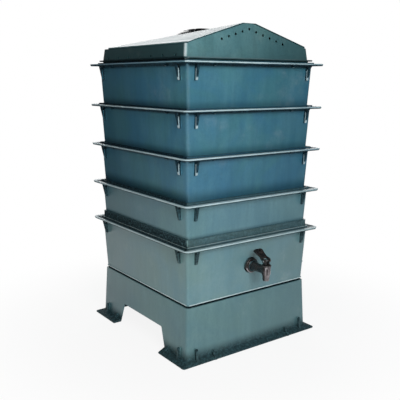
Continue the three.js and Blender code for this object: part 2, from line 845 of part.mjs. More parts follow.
const wormery = new THREE.Group();
wormery.position.y = stackShift;
wormery.add(named('base_stand', baseStand(), trayGreen));
wormery.add(named('collector_tray', collectorTray(), trayGreen));
trayRims.forEach((rim, index) => {
  wormery.add(named(`working_tray_${trayRims.length - index}`, workingTray(rim), trayGreen));
});
wormery.add(named('lid', lid(), trayGreen));
wormery.add(named('lid_handle', lidHandle(), tapBlack));
wormery.add(named('lid_screw_front', lidScrew(gripScrewPlaces[0]), steel));
wormery.add(named('lid_screw_back', lidScrew(gripScrewPlaces[1]), steel));

const ladderSeat = new THREE.Group();
ladderSeat.position.z = (collectorFloorFront + collectorFloorBack) / 2 + gap;
ladderSeat.rotation.x = Math.atan2(collectorFloorBack - collectorFloorFront, 2 * collectorHalfY);
ladderSeat.add(named('worm_ladder', wormLadder(), trayGreen));
wormery.add(ladderSeat);

const tap = new THREE.Group();
tap.position.set(0, -bossFace, tapLevel);
tap.add(named('tap_body', tapBody(), tapBlack));
const gasket = ringAlongY(tapHoleRadius, tapFlange.radius, -gap - gasketThickness, -gap);
tap.add(named('tap_gasket', gasket, rubberGrey));
const innerWasher = ringAlongY(tapHoleRadius, washerRadius, innerFaceY + gap, washerEnd);
tap.add(named('tap_inner_washer', innerWasher, rubberGrey));
tap.add(named('tap_back_nut', backNut(), tapBlack));
wormery.add(tap);

const valve = new THREE.Group();
valve.position.y = -tapReach;
valve.add(named('tap_bonnet', tapBonnet(), tapBlack));
valve.add(named('tap_plunger', tapPlunger(), tapBlack));
valve.add(named('tap_seat', tapSeat(), rubberGrey));
valve.add(named('tap_spring', tapSpring(), steel));
valve.add(named('tap_lever', tapLever(), tapBlack));
const pin = named('tap_lever_pin', across(pivotPinRadius, lever.rootHalf + 0.8, 12), steel);
pin.position.z = pivotHeight;
valve.add(pin);
tap.add(valve);

export default wormery;
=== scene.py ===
from math import atan, cos, pi, radians, sin

import bmesh
import bpy
from mathutils import Matrix, Vector


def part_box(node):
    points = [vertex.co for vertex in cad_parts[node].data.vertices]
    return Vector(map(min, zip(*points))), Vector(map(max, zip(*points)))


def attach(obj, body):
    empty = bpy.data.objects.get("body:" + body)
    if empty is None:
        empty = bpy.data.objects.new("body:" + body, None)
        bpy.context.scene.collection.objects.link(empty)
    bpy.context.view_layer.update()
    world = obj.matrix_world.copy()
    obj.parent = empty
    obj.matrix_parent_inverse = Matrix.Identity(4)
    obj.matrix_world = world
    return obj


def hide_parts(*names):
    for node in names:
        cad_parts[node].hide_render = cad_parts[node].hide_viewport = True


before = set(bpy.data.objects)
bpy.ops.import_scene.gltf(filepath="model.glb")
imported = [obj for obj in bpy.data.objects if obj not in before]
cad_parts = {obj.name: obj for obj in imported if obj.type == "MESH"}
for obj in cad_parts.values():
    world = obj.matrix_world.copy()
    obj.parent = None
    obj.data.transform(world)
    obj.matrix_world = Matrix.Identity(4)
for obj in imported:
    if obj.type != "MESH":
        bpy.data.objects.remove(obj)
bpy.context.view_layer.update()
print("frame loaded")

# Everything is drawn in millimetres about the middle of the stack, then put in place in metres.
mm = 0.001
rimLow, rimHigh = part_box("working_tray_1")
stackY = (rimLow.y + rimHigh.y) / 2
inPlace = Matrix.Translation((0, stackY, 0)) @ Matrix.Scale(mm, 4)


# Shader building

class Wire:
    def __init__(self, finish, socket):
        self.finish = finish
        self.socket = socket

    def maths(self, operation, first, second=0.0):
        return self.finish.add("ShaderNodeMath", {"operation": operation}, {0: first, 1: second})

    def __add__(self, other):
        return self.maths("ADD", self, other)

    def __radd__(self, other):
        return self.maths("ADD", other, self)

    def __sub__(self, other):
        return self.maths("SUBTRACT", self, other)

    def __rsub__(self, other):
        return self.maths("SUBTRACT", other, self)

    def __mul__(self, other):
        return self.maths("MULTIPLY", self, other)

    def __rmul__(self, other):
        return self.maths("MULTIPLY", other, self)

    def __abs__(self):
        return self.maths("ABSOLUTE", self)

    def root(self):
        return self.maths("SQRT", self)

    def largest(self, other):
        return self.maths("MAXIMUM", self, other)

    def fade(self, start, end):
        # 0 at start, 1 at end, smooth between them
        return self.finish.add("ShaderNodeMapRange", {"interpolation_type": "SMOOTHSTEP"},
                               {"Value": self, "From Min": start, "From Max": end})


class Finish:
    def __init__(self, tree):
        self.tree = tree
        self.tree.nodes.clear()

    def add(self, kind, settings=None, values=None, output=0):
        node = self.tree.nodes.new(kind)
        for name, value in (settings or {}).items():
            setattr(node, name, value)
        for name, value in (values or {}).items():
            if isinstance(value, Wire):
                self.tree.links.new(value.socket, node.inputs[name])
            else:
                node.inputs[name].default_value = value
        return Wire(self, node.outputs[output] if node.outputs else None)

    def place(self, stretch=(1, 1, 1), shift=(0, 0, 0)):
        point = self.add("ShaderNodeTexCoord", output="Object")
        return self.add("ShaderNodeMapping", values={"Vector": point, "Scale": stretch, "Location": shift})

    def noise(self, scale, detail=3.0, rough=0.5, stretch=(1, 1, 1), shift=(0, 0, 0), twist=0.0):
        return self.add("ShaderNodeTexNoise", values={
            "Vector": self.place(stretch, shift), "Scale": scale, "Detail": detail,
            "Roughness": rough, "Distortion": twist})

    def blend(self, share, first, second):
        return self.add("ShaderNodeMix", {"data_type": "RGBA"}, {0: share, 6: first, 7: second}, output=2)

    def axes(self):
        point = self.add("ShaderNodeTexCoord", output="Object")
        return [self.add("ShaderNodeSeparateXYZ", values={"Vector": point}, output=axis) for axis in "XYZ"]

    def bump(self, height, strength, distance=0.001):
        return self.add("ShaderNodeBump", values={
            "Height": height, "Strength": strength, "Distance": distance})

    def shader(self, values):
        return self.add("ShaderNodeBsdfPrincipled", values=values)

    def output(self, shader):
        self.add("ShaderNodeOutputMaterial", values={"Surface": shader})

    def surface(self, values):
        self.output(self.shader(values))


def newMaterial(name):
    material = bpy.data.materials.new(name)
    material.use_nodes = True
    return material, Finish(material.node_tree)


def rgb(red, green, blue):
    # colours are written as they look on a screen, 0 to 255
    return tuple(((value / 255 + 0.055) / 1.055) ** 2.4 for value in (red, green, blue)) + (1,)


# where each mark of painted shade and painted highlight fades in, in metres: out from the wall's face, or up
# from the level it belongs to
bands = {
    "onWall": (-0.006, -0.003), "onSide": (-0.001, 0.001), "raisedOut": (0.0012, 0.002),
    "shelfUp": (0.0026, 0.0042), "shelfIn": (-0.0045, -0.0035), "shelfOut": (0.0126, 0.0136),
    "lipUp": (0.0008, 0.0024), "lipOut": (0.008, 0.0125),
    "coveLow": (-0.009, -0.0035), "coveHigh": (0.002, 0.003), "coveOut": (-0.0015, 0.001),
    "finLow": (0, 0.001), "finHigh": (0.031, 0.032), "finDepth": (0.1, 0.12),
    "finFaceIn": (-0.0009, -0.0004), "finFaceOut": (0.0012, 0.002),
    "seamUp": (0, 0.0006), "gableHigh": (0.0004, 0.0011), "gableLow": (0.0022, 0.003),
    "cornerIn": (-0.006, -0.001), "cornerOut": (0.001, 0.002), "cornerAcross": (-0.1, 0.1),
    "edgeUp": (0.0012, 0.0028), "edgeOut": (0.0128, 0.014), "edgeAcross": (0, 0.2),
    "curbUp": (0.0062, 0.0072), "hemUp": (0, 0.0006), "hemOut": (0.0003, 0.0008),
    "eaveOut": (0.151, 0.163), "eaveUp": (0.0004, 0.001)}


def band(name, base=0.0):
    start, end = bands[name]
    return base + start, base + end


def mouldedPlastic(name, look, form):
    # form gives the piece's own walls in metres, so that painted highlights follow its raised edges and
    # painted shade falls under its rim and above the ledge on which it stands
    material, finish = newMaterial(name)
    seed = look["seed"]
    x, y, z = finish.axes()
    level, fins, post = form["level"], form["fins"], form["post"]
    widening = (z - level) * form["lean"]
    depth = y - stackY
    outX = abs(x) - widening - form["halfX"]
    outY = abs(depth) - widening - form["halfY"]
    beyond = outX.largest(outY)
    onWall = beyond.fade(*band("onWall"))
    side = (outX - outY).fade(*band("onSide")) * onWall
    ledge = (1 - z.fade(form["ledge"], form["ledge"] + form["ledgeFade"])) * form["ledgeShare"]
    shelf = (z.fade(*band("shelfUp", level)) * beyond.fade(*band("shelfIn"))
             * (1 - beyond.fade(*band("shelfOut"))) * form["rimShare"])
    lipBase = beyond.fade(*band("lipOut")) * (1 - z.fade(*band("lipUp", level))) * form["rimShare"]
    cove = (z.fade(*band("coveLow", level)) * (1 - z.fade(*band("coveHigh", level)))
            * beyond.fade(*band("coveOut")) * form["coveShare"])
    inFins = (z.fade(*band("finLow", fins)) * (1 - z.fade(*band("finHigh", fins)))
              * beyond.fade(*band("raisedOut")))
    finFace = beyond.fade(*band("finFaceIn", post)) * (1 - beyond.fade(*band("finFaceOut", post)))
    seam = z.fade(*band("seamUp", form["seam"]))
    under = form["roofLine"] - abs(x) * form["slope"] - z
    gable = under.fade(*band("gableHigh")) * (1 - under.fade(*band("gableLow"))) * onWall
    front = form["front"]
    # painted shade: darker above the ledge below, on the rim plate's top, under the lip, in the cove below
    # the rim, above the stand's seam, in the gable groove and on the fins' sides
    paintedShade = (ledge.largest(shelf) * (front + side * (1 - front))).largest(lipBase).largest(cove)
    paintedShade = paintedShade.largest(seam).largest(gable * 0.85)
    paintedShade = paintedShade.largest(inFins * (1 - finFace * form["finFaceUnshaded"]) * 0.9)

    # painted highlight: the near left corner, rim edges, curb, hem, left eave and fins' outer faces made
    # pale where light catches them; rim edges fade towards +X
    corner = (outX.fade(*band("cornerIn")) * outY.fade(*band("cornerIn"))
              * (1 - beyond.fade(*band("cornerOut"))) * (1 - x.fade(*band("cornerAcross")))
              * look["cornerHighlight"])
    edge = (beyond.fade(*band("edgeOut")) * z.fade(*band("edgeUp", level))
            * (1 - side * (1 - form["sideHighlight"])) * (1 - x.fade(*band("edgeAcross")) * 0.4))
    curb = beyond.fade(*band("raisedOut")) * z.fade(*band("curbUp", level)) * form["curbHighlight"]
    hem = (1 - z.fade(*band("hemUp", form["hem"]))) * beyond.fade(*band("hemOut"))
    eave = (0 - x).fade(*band("eaveOut")) * (1 - under.fade(*band("eaveUp")))
    raised = edge.largest(hem).largest(curb) * look["edgeHighlight"]
    nearFins = inFins * finFace * (1 - depth.fade(*band("finDepth")))
    raised = raised.largest(nearFins * form["finLight"]).largest(eave * 0.9).largest(corner)

    clouds = finish.noise(6.5, 4, 0.6, shift=(seed, -seed, seed), twist=0.8).fade(0.36, 0.66)
    patches = finish.noise(17, 4, 0.65, stretch=(1, 1, 0.55), shift=(-seed, seed, 0), twist=0.4)
    patches = patches.fade(0.38, 0.7)
    streaks = finish.noise(60, 3, 0.6, stretch=(1, 1, 0.09), shift=(0, seed, seed)).fade(0.35, 0.72)
    specks = finish.noise(190, 3, 0.7, shift=(seed, seed, 0)).fade(0.4, 0.72)
    colour = finish.blend(clouds, look["blue"], look["green"])
    colour = finish.blend(patches * 0.42, colour, look["pale"])
    colour = finish.blend(streaks * 0.22 + specks * 0.16, colour, look["deep"])
    # painted shade: side faces darker, more so towards the back, and the whole piece darker towards +X
    shade = side * (look["sideDim"] + depth.fade(-0.18, 0.22) * 0.6)
    colour = finish.blend((x.fade(-0.16, 0.26) * look["dim"]).largest(shade), colour, look["deep"])
    smudge = finish.noise(9, 5, 0.72, shift=(seed * 2, 0, -seed)).fade(0.55, 0.85)
    colour = finish.blend(smudge * look["bloom"], colour, rgb(205, 212, 210))
    # the painted highlight colour laid over the plastic
    highlightShare = raised * (0.7 + patches * 0.3)
    colour = finish.blend(highlightShare, colour, look["wornAndHighlight"])
    grain = finish.noise(1400, 2, 0.6)
    ripple = finish.noise(60, 2, 0.5, stretch=(1, 1, 0.25), shift=(seed, 0, 0))
    relief = finish.bump(grain * 0.05 + ripple * 0.35, 0.35, 0.0006)
    plastic = finish.shader({
        "Base Color": colour,
        "Roughness": look["rough"] + smudge * 0.14 + (patches - 0.5) * 0.07 + (grain - 0.5) * 0.05,
        "Specular IOR Level": look["gloss"],
        "Normal": relief,
    })
    # a dark matt surface standing in for the painted shade
    shadeSurface = finish.shader({
        "Base Color": finish.blend(specks * (1 - seam) * 0.6, look["paintedShade"], look["deep"]),
        "Roughness": 0.8,
        "Specular IOR Level": 0.12,
        "Normal": relief,
    })
    finish.output(finish.add("ShaderNodeMixShader", values={0: paintedShade * (1 - highlightShare), 1: plastic, 2: shadeSurface}))
    return material


# where painted sheen and painted highlight lie on the tap, in metres: heights, depths in front of
# the stack's middle, and reach from the tap's own axis
tapMarks = {"axis": 0.204, "spoutTop": (0.212, 0.219), "spoutFront": (-0.2576, -0.2562),
            "flangeRim": (0.0156, 0.0166), "flangeBehind": (-0.2068, -0.206), "flangeLow": (0.188, 0.192)}


def tapPlastic(name, look):
    material, finish = newMaterial(name)
    cloud = finish.noise(90, 3, 0.6).fade(0.35, 0.7)
    scuff = finish.noise(240, 5, 0.7, stretch=(1, 1, 0.3)).fade(0.52, 0.8)
    grain = finish.noise(3500, 2, 0.5)
    colour = finish.blend(cloud, look["dark"], look["warm"])
    colour = finish.blend(scuff * 0.35, colour, look["wornAndHighlight"])
    # painted sheen on the spout in upright lines, and painted highlight on the flange along its lower edge
    x, y, z = finish.axes()
    depth, above = y - stackY, z - tapMarks["axis"]
    lines = finish.noise(330, 2, 0.6, stretch=(1, 1, 0.02)).fade(0.38, 0.62)
    spout = ((1 - z.fade(*tapMarks["spoutTop"])) * (1 - depth.fade(*tapMarks["spoutFront"]))
             * (0.15 + lines * 0.85))
    reach = (x * x + above * above).root()
    flange = (reach.fade(*tapMarks["flangeRim"]) * depth.fade(*tapMarks["flangeBehind"])
              * (1 - (x * 0.6 + z).fade(*tapMarks["flangeLow"])))
    colour = finish.blend((spout * 0.7).largest(flange) * look["paintedSheen"], colour, rgb(176, 170, 176))
    finish.surface({
        "Base Color": colour,
        "Roughness": look["rough"] + scuff * 0.18 + (cloud - 0.5) * 0.08,
        "Specular IOR Level": 0.6,
        "Normal": finish.bump(grain * 0.08 + scuff * 0.1, look["relief"], 0.0004),
    })
    return material


def softRubber(name):
    material, finish = newMaterial(name)
    dust = finish.noise(160, 4, 0.65).fade(0.45, 0.8)
    grain = finish.noise(2600, 2, 0.6)
    finish.surface({
        "Base Color": finish.blend(dust * 0.5, rgb(38, 38, 39), rgb(84, 84, 82)),
        "Roughness": 0.72 + dust * 0.18,
        "Normal": finish.bump(grain, 0.3, 0.0003),
    })
    return material


def brightSteel(name):
    material, finish = newMaterial(name)
    lines = finish.noise(900, 3, 0.6, stretch=(1, 1, 0.08))
    stain = finish.noise(120, 4, 0.6).fade(0.5, 0.85)
    finish.surface({
        "Base Color": finish.blend(stain * 0.4, rgb(196, 198, 200), rgb(150, 146, 140)),
        "Metallic": 1.0,
        "Roughness": 0.24 + lines * 0.14 + stain * 0.2,
        "Normal": finish.bump(lines, 0.12, 0.0002),
    })
    return material


# the darkest colour here is painted shade, the palest is painted highlight on edges and corners, and the
# dimming shares set painted shade by side and towards +X
shared = {"rough": 0.4, "gloss": 0.45, "edgeHighlight": 0.85, "cornerHighlight": 0.03, "bloom": 0.12, "dim": 0.45,
          "sideDim": 0.0, "wornAndHighlight": rgb(184, 204, 208), "paintedShade": rgb(5, 22, 28), "seed": 1.3}
upperBlue = shared | {"blue": rgb(52, 104, 130), "green": rgb(58, 110, 120), "pale": rgb(78, 128, 140),
                      "deep": rgb(34, 74, 92)}
paleBlue = shared | {"blue": rgb(78, 118, 132), "green": rgb(86, 124, 130), "pale": rgb(104, 142, 148),
                     "deep": rgb(60, 96, 108), "seed": 9.4}
paleGreen = shared | {"blue": rgb(90, 128, 138), "green": rgb(98, 130, 130), "pale": rgb(118, 148, 150),
                      "deep": rgb(74, 106, 114), "bloom": 0.16, "dim": 0.6, "seed": 7.9}
# the lid gets strong painted shade on its sides and towards +X, and a strong painted highlight down its near
# corner
lidGreen = shared | {"blue": rgb(75, 118, 125), "green": rgb(82, 122, 123), "pale": rgb(100, 140, 143),
                     "deep": rgb(32, 62, 66), "wornAndHighlight": rgb(210, 222, 225), "rough": 0.36, "cornerHighlight": 0.95,
                     "edgeHighlight": 0.25, "dim": 0.85, "sideDim": 0.9, "seed": 4.1}
standGreen = shared | {"blue": rgb(78, 114, 122), "green": rgb(84, 118, 120), "pale": rgb(102, 136, 138),
                       "deep": rgb(60, 94, 102), "seed": 11.7}

# the shares set how much painted shade lies above each ledge, on and under each rim and in its cove, and how
# much painted highlight its fins and curb get
plainForm = {"level": 3.0, "halfX": 1.0, "halfY": 1.0, "lean": 0.0, "ledge": 0.0, "ledgeFade": 0.01,
             "ledgeShare": 0.0, "rimShare": 0.0, "coveShare": 0.0, "sideHighlight": 0.9, "fins": 3.0,
             "post": 0.0063, "finFaceUnshaded": 0.2, "finLight": 0.0, "front": 0.65, "curbHighlight": 0.0, "seam": 3.0,
             "hem": -1.0, "roofLine": 3.0, "slope": 0.3}


def trayForm(number, ledgeFade, ledgeShare, finFaceUnshaded, finLight):
    level = 0.67 - 0.101 * (number - 1)
    return plainForm | {"level": level, "halfX": 0.1845, "halfY": 0.1985, "lean": 5 / 101, "rimShare": 0.95,
                        "ledge": level - 0.0925, "ledgeFade": ledgeFade, "ledgeShare": ledgeShare,
                        "coveShare": 0.95 if finLight else 0.5,
                        "fins": level - 0.0355, "finFaceUnshaded": finFaceUnshaded, "finLight": finLight}


collectorForm = trayForm(5, 0.01, 0.0, 0.25, 0.0) | {
    "level": 0.2685, "halfX": 0.186, "halfY": 0.2, "hem": 0.139, "lean": 6.5 / 132.2, "fins": 0.233,
    "curbHighlight": 0.8}
# painted shade on the stand's foot flange and above its seam
standForm = plainForm | {"halfX": 0.188, "halfY": 0.202, "ledge": 0.008, "ledgeFade": 0.03,
                         "ledgeShare": 0.85, "fins": 0.008, "post": 0.0065, "front": 0.95, "seam": 0.1317}
# painted shade on the lid's lip and in the groove under its gable edge
lidForm = plainForm | {"level": 0.681, "halfX": 0.1827, "halfY": 0.1867, "lean": -0.12, "ledge": 0.6832,
                       "ledgeFade": 0.003, "ledgeShare": 0.8, "roofLine": 0.76714, "slope": 0.302}

trayFinishes = {
    1: mouldedPlastic("tray plastic 1", upperBlue, trayForm(1, 0.018, 0.5, 1.0, 0.8) | {"sideHighlight": 0.25}),
    2: mouldedPlastic("tray plastic 2", upperBlue | {"seed": 2.6}, trayForm(2, 0.018, 0.5, 1.0, 0.8)),
    3: mouldedPlastic("tray plastic 3", upperBlue | {"seed": 5.2}, trayForm(3, 0.03, 0.7, 1.0, 0.7)),
    4: mouldedPlastic("tray plastic 4", paleBlue, trayForm(4, 0.012, 0.9, 0.25, 0.0) | {"ledge": 0.289}),
}
collectorFinish = mouldedPlastic("collector plastic", paleGreen, collectorForm)
lidFinish = mouldedPlastic("lid plastic", lidGreen, lidForm)
standFinish = mouldedPlastic("stand plastic", standGreen, standForm)
ladderFinish = mouldedPlastic("ladder plastic", upperBlue | {"seed": 14.0}, plainForm)
# the grip gets no painted sheen; the tap gets painted sheen on its spout and painted highlight on its flange
gripFinish = tapPlastic("grip plastic", {"dark": rgb(20, 21, 23), "warm": rgb(30, 30, 31), "paintedSheen": 0.0,
                                         "wornAndHighlight": rgb(70, 70, 70), "rough": 0.5, "relief": 0.6})
tapFinish = tapPlastic("tap plastic", {"dark": rgb(18, 17, 19), "warm": rgb(38, 31, 29), "paintedSheen": 0.55,
                                       "wornAndHighlight": rgb(92, 88, 88), "rough": 0.28, "relief": 0.25})
rubberFinish = softRubber("tap rubber")
steelFinish = brightSteel("steel")
print("materials made")


# Shape building, in millimetres

def ring(bm, halfX, halfY, corner, height, steps=4):
    # a rounded rectangle of edges
    made = bmesh.ops.create_circle(bm, cap_ends=False, segments=4 * (steps + 1), radius=1)
    signs = ((-1, 1), (-1, -1), (1, -1), (1, 1))
    for index, vert in enumerate(made["verts"]):
        side, step = divmod(index, steps + 1)
        angle = radians(90 * (side + 1 + step / steps))
        signX, signY = signs[side]
        vert.co = (signX * (halfX - corner) + corner * cos(angle),
                   signY * (halfY - corner) + corner * sin(angle), height)
    return list({edge for vert in made["verts"] for edge in vert.link_edges})


def loft(bm, levels, closed=False):
    # skins a run of rounded rectangles; an open run is capped at both ends
    rings = [ring(bm, *level) for level in levels]
    pairs = list(zip(rings, rings[1:]))
    if closed:
        pairs.append((rings[-1], rings[0]))
    for first, second in pairs:
        bmesh.ops.bridge_loops(bm, edges=first + second)
    if not closed:
        bmesh.ops.edgeloop_fill(bm, edges=rings[0])
        bmesh.ops.edgeloop_fill(bm, edges=rings[-1])


def slab(bm, low, high):
    middle = [(a + b) / 2 for a, b in zip(low, high)]
    size = [abs(b - a) for a, b in zip(low, high)]
    bmesh.ops.create_cube(bm, size=1, matrix=Matrix.Translation(middle) @ Matrix.Diagonal((*size, 1)))


def bend(start, pull, end, count=6):
    # points on a curve from start to end, drawn towards pull
    points = []
    for index in range(count + 1):
        t = index / count
        points.append(tuple((1 - t) ** 2 * a + 2 * t * (1 - t) * b + t * t * c
                            for a, b, c in zip(start, pull, end)))
    return points


def plate(bm, outline, thickness, matrix):
    # a flat outline in XZ with an even thickness along Y; the corners are joined by their angle
    # about the middle, so the grip, the gable groove and the rims' corner gussets differ from
    # their drawn outlines
    corners = [bm.verts.new((x, -thickness / 2, z)) for x, z in outline]
    face = bmesh.ops.contextual_create(bm, geom=corners)["faces"]
    grown = bmesh.ops.extrude_face_region(bm, geom=face)["geom"]
    raised = [item for item in grown if isinstance(item, bmesh.types.BMVert)]
    bmesh.ops.translate(bm, verts=raised, vec=(0, thickness, 0))
    bmesh.ops.transform(bm, matrix=matrix, verts=corners + raised)


def rod(bm, radius, length, matrix, sides=24):
    # a capped round bar along Z from 0 to length
    bmesh.ops.create_cone(bm, cap_ends=True, segments=sides, radius1=radius, radius2=radius,
                          depth=length, matrix=matrix @ Matrix.Translation((0, 0, length / 2)))


def turnedBody(outline, matrix, sides=40):
    # an outline of (radius, height) spun about Z; off the axis it is closed into a ring
    bm = bmesh.new()
    corners = [bm.verts.new((radius, 0, height)) for radius, height in outline]
    onAxis = outline[0][0] == 0
    following = corners[1:] if onAxis else corners[1:] + corners[:1]
    edges = [bm.edges.new(pair) for pair in zip(corners, following)]
    bmesh.ops.spin(bm, geom=corners + edges, cent=(0, 0, 0), axis=(0, 0, 1), angle=2 * pi,
                   steps=sides, use_merge=True)
    bmesh.ops.remove_doubles(bm, verts=bm.verts, dist=0.001)
    bmesh.ops.transform(bm, matrix=matrix, verts=bm.verts)
    return bm


def combine(bm, other, operation):
    # a boolean between two shapes; both are used up
    pieces = []
    for shape in (bm, other):
        bmesh.ops.recalc_face_normals(shape, faces=shape.faces)
        mesh = bpy.data.meshes.new("shape")
        shape.to_mesh(mesh)
        shape.free()
        pieces.append(bpy.data.objects.new("shape", mesh))
        bpy.context.collection.objects.link(pieces[-1])
    base, tool = pieces
    step = base.modifiers.new("boolean", "BOOLEAN")
    step.operation = operation
    step.solver = "EXACT"
    step.object = tool
    result = bmesh.new()
    result.from_object(base, bpy.context.evaluated_depsgraph_get())
    for piece in pieces:
        bpy.data.meshes.remove(piece.data)
    return result


def placedMesh(name, bm):
    bmesh.ops.recalc_face_normals(bm, faces=bm.faces)
    bmesh.ops.transform(bm, matrix=inPlace, verts=bm.verts)
    mesh = bpy.data.meshes.new(name)
    bm.to_mesh(mesh)
    bm.free()
    return mesh


def piece(name, bm, *dressing, **edges):
    dressed(name, placedMesh(name, bm), *dressing, **edges)


def dressed(name, mesh, material, body, nodes, slot, edge=0.8, sharp=35, segments=2):
    made = bpy.data.objects.new(name, mesh)
    bpy.context.collection.objects.link(made)
    mesh.materials.clear()
    mesh.materials.append(material)
    for face in mesh.polygons:
        face.use_smooth = True
    mesh.set_sharp_from_angle(angle=radians(sharp))
    if edge:
        rounding = made.modifiers.new("rounded edges", "BEVEL")
        rounding.width = edge * mm
        rounding.segments = segments
        rounding.limit_method = "ANGLE"
        rounding.angle_limit = radians(sharp)
        rounding.harden_normals = True
    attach(made, body)
    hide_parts(*nodes)


# Rims and their gussets

rim = {"halfX": (rimHigh.x - rimLow.x) / mm / 2, "halfY": (rimHigh.y - rimLow.y) / mm / 2,
       "corner": 12, "height": 8, "lip": 5, "lipWall": 3, "plate": 2.5, "undercut": 1.4,
       "curbX": 189, "curbY": 203, "curbCorner": 8, "coveWide": 10.5, "coveHigh": 9}
# each gusset's outer line as (reach, distance from the plate), and where it stands on the walls
rimGussets = {
    "corner": {"line": [(13, 1), (9.6, 3), (7.4, 6.5), (6.3, 11), (5.4, 32.4), (4.2, 34)],
               "front": 163, "side": 173},
    "middle": {"line": [(12, 1), (8, 3.4), (4.5, 5)], "front": 115, "side": 125}}
footGussets = {
    "corner": {"line": [(11, 1), (8, 9), (6.5, 15), (5.8, 31.5), (3.6, 34)], "front": 163, "side": 173},
    "middle": {"line": [(16, 1), (14.5, 6.5), (0.5, 20)], "front": 115, "side": 125}}
gussetRoot = 2.2
gussetThickness = {"rim": 5.6, "foot": 6}


def coveLevels(x, y, corner, level, lean):
    # the wall's outer face as it curves out into the underside of the plate
    wide, high, under = rim["coveWide"], rim["coveHigh"], level + rim["lip"] - rim["plate"]
    start = x - lean * (high - rim["lip"] + rim["plate"]), under - high
    bowed = bend(start, (x + 0.5, under - 1), (x + wide, under), 7)
    return [(out, out - x + y, corner + max(0, out - x) / 2, height) for out, height in bowed]


def rimLevels(level):
    # up the inside of the lip, over its undercut edge, across the plate and up the curb
    x, y, corner, inset = rim["halfX"], rim["halfY"], rim["corner"], rim["lipWall"]
    curb = rim["curbX"], rim["curbY"], rim["curbCorner"]
    top, cut = level + rim["lip"], rim["undercut"]
    return [
        (x - inset, y - inset, corner - inset, top - rim["plate"]),
        (x - inset, y - inset, corner - inset, level),
        (x - cut, y - cut, corner - cut, level),
        (x, y, corner, top - rim["plate"]),
        (x, y, corner, top),
        (*curb, top),
        (*curb, level + rim["height"]),
    ]


def gussetRing(bm, gussets, thickness, wallX, wallY, height, side, overlap):
    for gusset in gussets.values():
        line = [(reach, side * away) for reach, away in gusset["line"]]
        outline = [(-gussetRoot, -side * overlap), (line[0][0], -side * overlap), *line,
                   (-gussetRoot, line[-1][1])]
        for wall in (-1, 1):
            for end in (-1, 1):
                sideways = Matrix.Translation((wall * wallX, end * gusset["side"], height))
                sideways = sideways @ Matrix.Rotation(0 if wall > 0 else pi, 4, "Z")
                frontal = Matrix.Translation((end * gusset["front"], wall * wallY, height))
                frontal = frontal @ Matrix.Rotation(wall * pi / 2, 4, "Z")
                plate(bm, outline, thickness, sideways)
                plate(bm, outline, thickness, frontal)


# Working trays

tray = {"halfX": 184.5, "halfY": 198.5, "corner": 8, "wall": 3, "floor": 4, "lean": 5 / 101,
        "pitch": 101, "nest": 15.7, "topRim": 670, "stopReachX": 171.5, "stopReachY": 185.5,
        "stopOffset": 100, "stopWidth": 8, "holes": (20, 22), "holePitch": 16.6, "holeRadius": 2.6}
stopGap = 0.3  # between the stops and the tray that they stand under


def stops(bm, wallX, wallY, lean, bottom, top):
    # uprights inside a tray, rooted in the middle of its leaning walls
    for root, reach, turn in ((wallX, tray["stopReachX"], 0), (wallY, tray["stopReachY"], pi / 2)):
        outline = [(reach, bottom), (root - lean * (top - bottom), bottom), (root, top), (reach, top)]
        for opposite in (0, pi):
            for end in (-1, 1):
                place = Matrix.Rotation(turn + opposite, 4, "Z")
                place = place @ Matrix.Translation((0, end * tray["stopOffset"], 0))
                plate(bm, outline, tray["stopWidth"], place)


def trayMesh():
    level = tray["topRim"]
    foot = level - tray["pitch"] + rim["height"] - tray["nest"]
    x, y, corner, wall, lean = (tray[key] for key in ("halfX", "halfY", "corner", "wall", "lean"))
    footIn = (level - foot) * lean
    mouthOut = rim["height"] * lean
    top = level + rim["height"]

    floor = bmesh.new()
    loft(floor, [(x - footIn - 1, y - footIn - 1, corner - 1, foot + 0.15),
                 (x - footIn - 1, y - footIn - 1, corner - 1, foot + tray["floor"])])
    holes = bmesh.new()
    countX, countY = tray["holes"]
    for i in range(countX):
        for j in range(countY):
            at = ((i - (countX - 1) / 2) * tray["holePitch"],
                  (j - (countY - 1) / 2) * tray["holePitch"], foot - 2)
            rod(holes, tray["holeRadius"], 9, Matrix.Translation(at), sides=10)
    bm = combine(floor, holes, "DIFFERENCE")

    loft(bm, [
        (x - footIn, y - footIn, corner, foot),
        *coveLevels(x, y, corner, level, lean),
        *rimLevels(level),
        (x - wall + mouthOut, y - wall + mouthOut, corner - wall, top),
        (x - wall - footIn, y - wall - footIn, corner - wall, foot + 0.5),
    ], closed=True)
    gussetRing(bm, rimGussets, gussetThickness["rim"], x, y, level, -1, rim["lip"] - 1)
    stopTop = top - tray["nest"] - stopGap
    wallIn = wall / 2 + (level - stopTop) * lean
    stops(bm, x - wallIn, y - wallIn, lean, foot + 2, stopTop)
    return placedMesh("trayShape", bm)


def workingTrays():
    shape = trayMesh()
    for number in range(1, 5):
        mesh = shape.copy()
        mesh.name = f"tray {number}"
        mesh.transform(Matrix.Translation((0, 0, -(number - 1) * tray["pitch"] * mm)))
        node = f"working_tray_{number}"
        dressed(f"tray{number}Shell", mesh, trayFinishes[number], f"tray_{number}", [node], "green_plastic")
    bpy.data.meshes.remove(shape)
    print("working trays made")


# Collecting tray

collector = {"rim": 268.5, "foot": 136.3, "halfX": 186, "halfY": 200, "narrowing": 6.5, "corner": 8,
             "wall": 3, "collarTop": 291, "tabWidth": 17, "tabProud": 1.3, "bowlNarrowing": 3.9,
             "floorFront": 182, "floorBack": 190, "floorThickness": 3.5, "bead": 1.1,
             "bossRadius": 19, "bossFace": 199.5, "bossInner": 190.5, "tapLevel": 204, "tapHole": 13.6}
tiltOfFloor = atan((collector["floorBack"] - collector["floorFront"]) / (2 * collector["halfY"]))


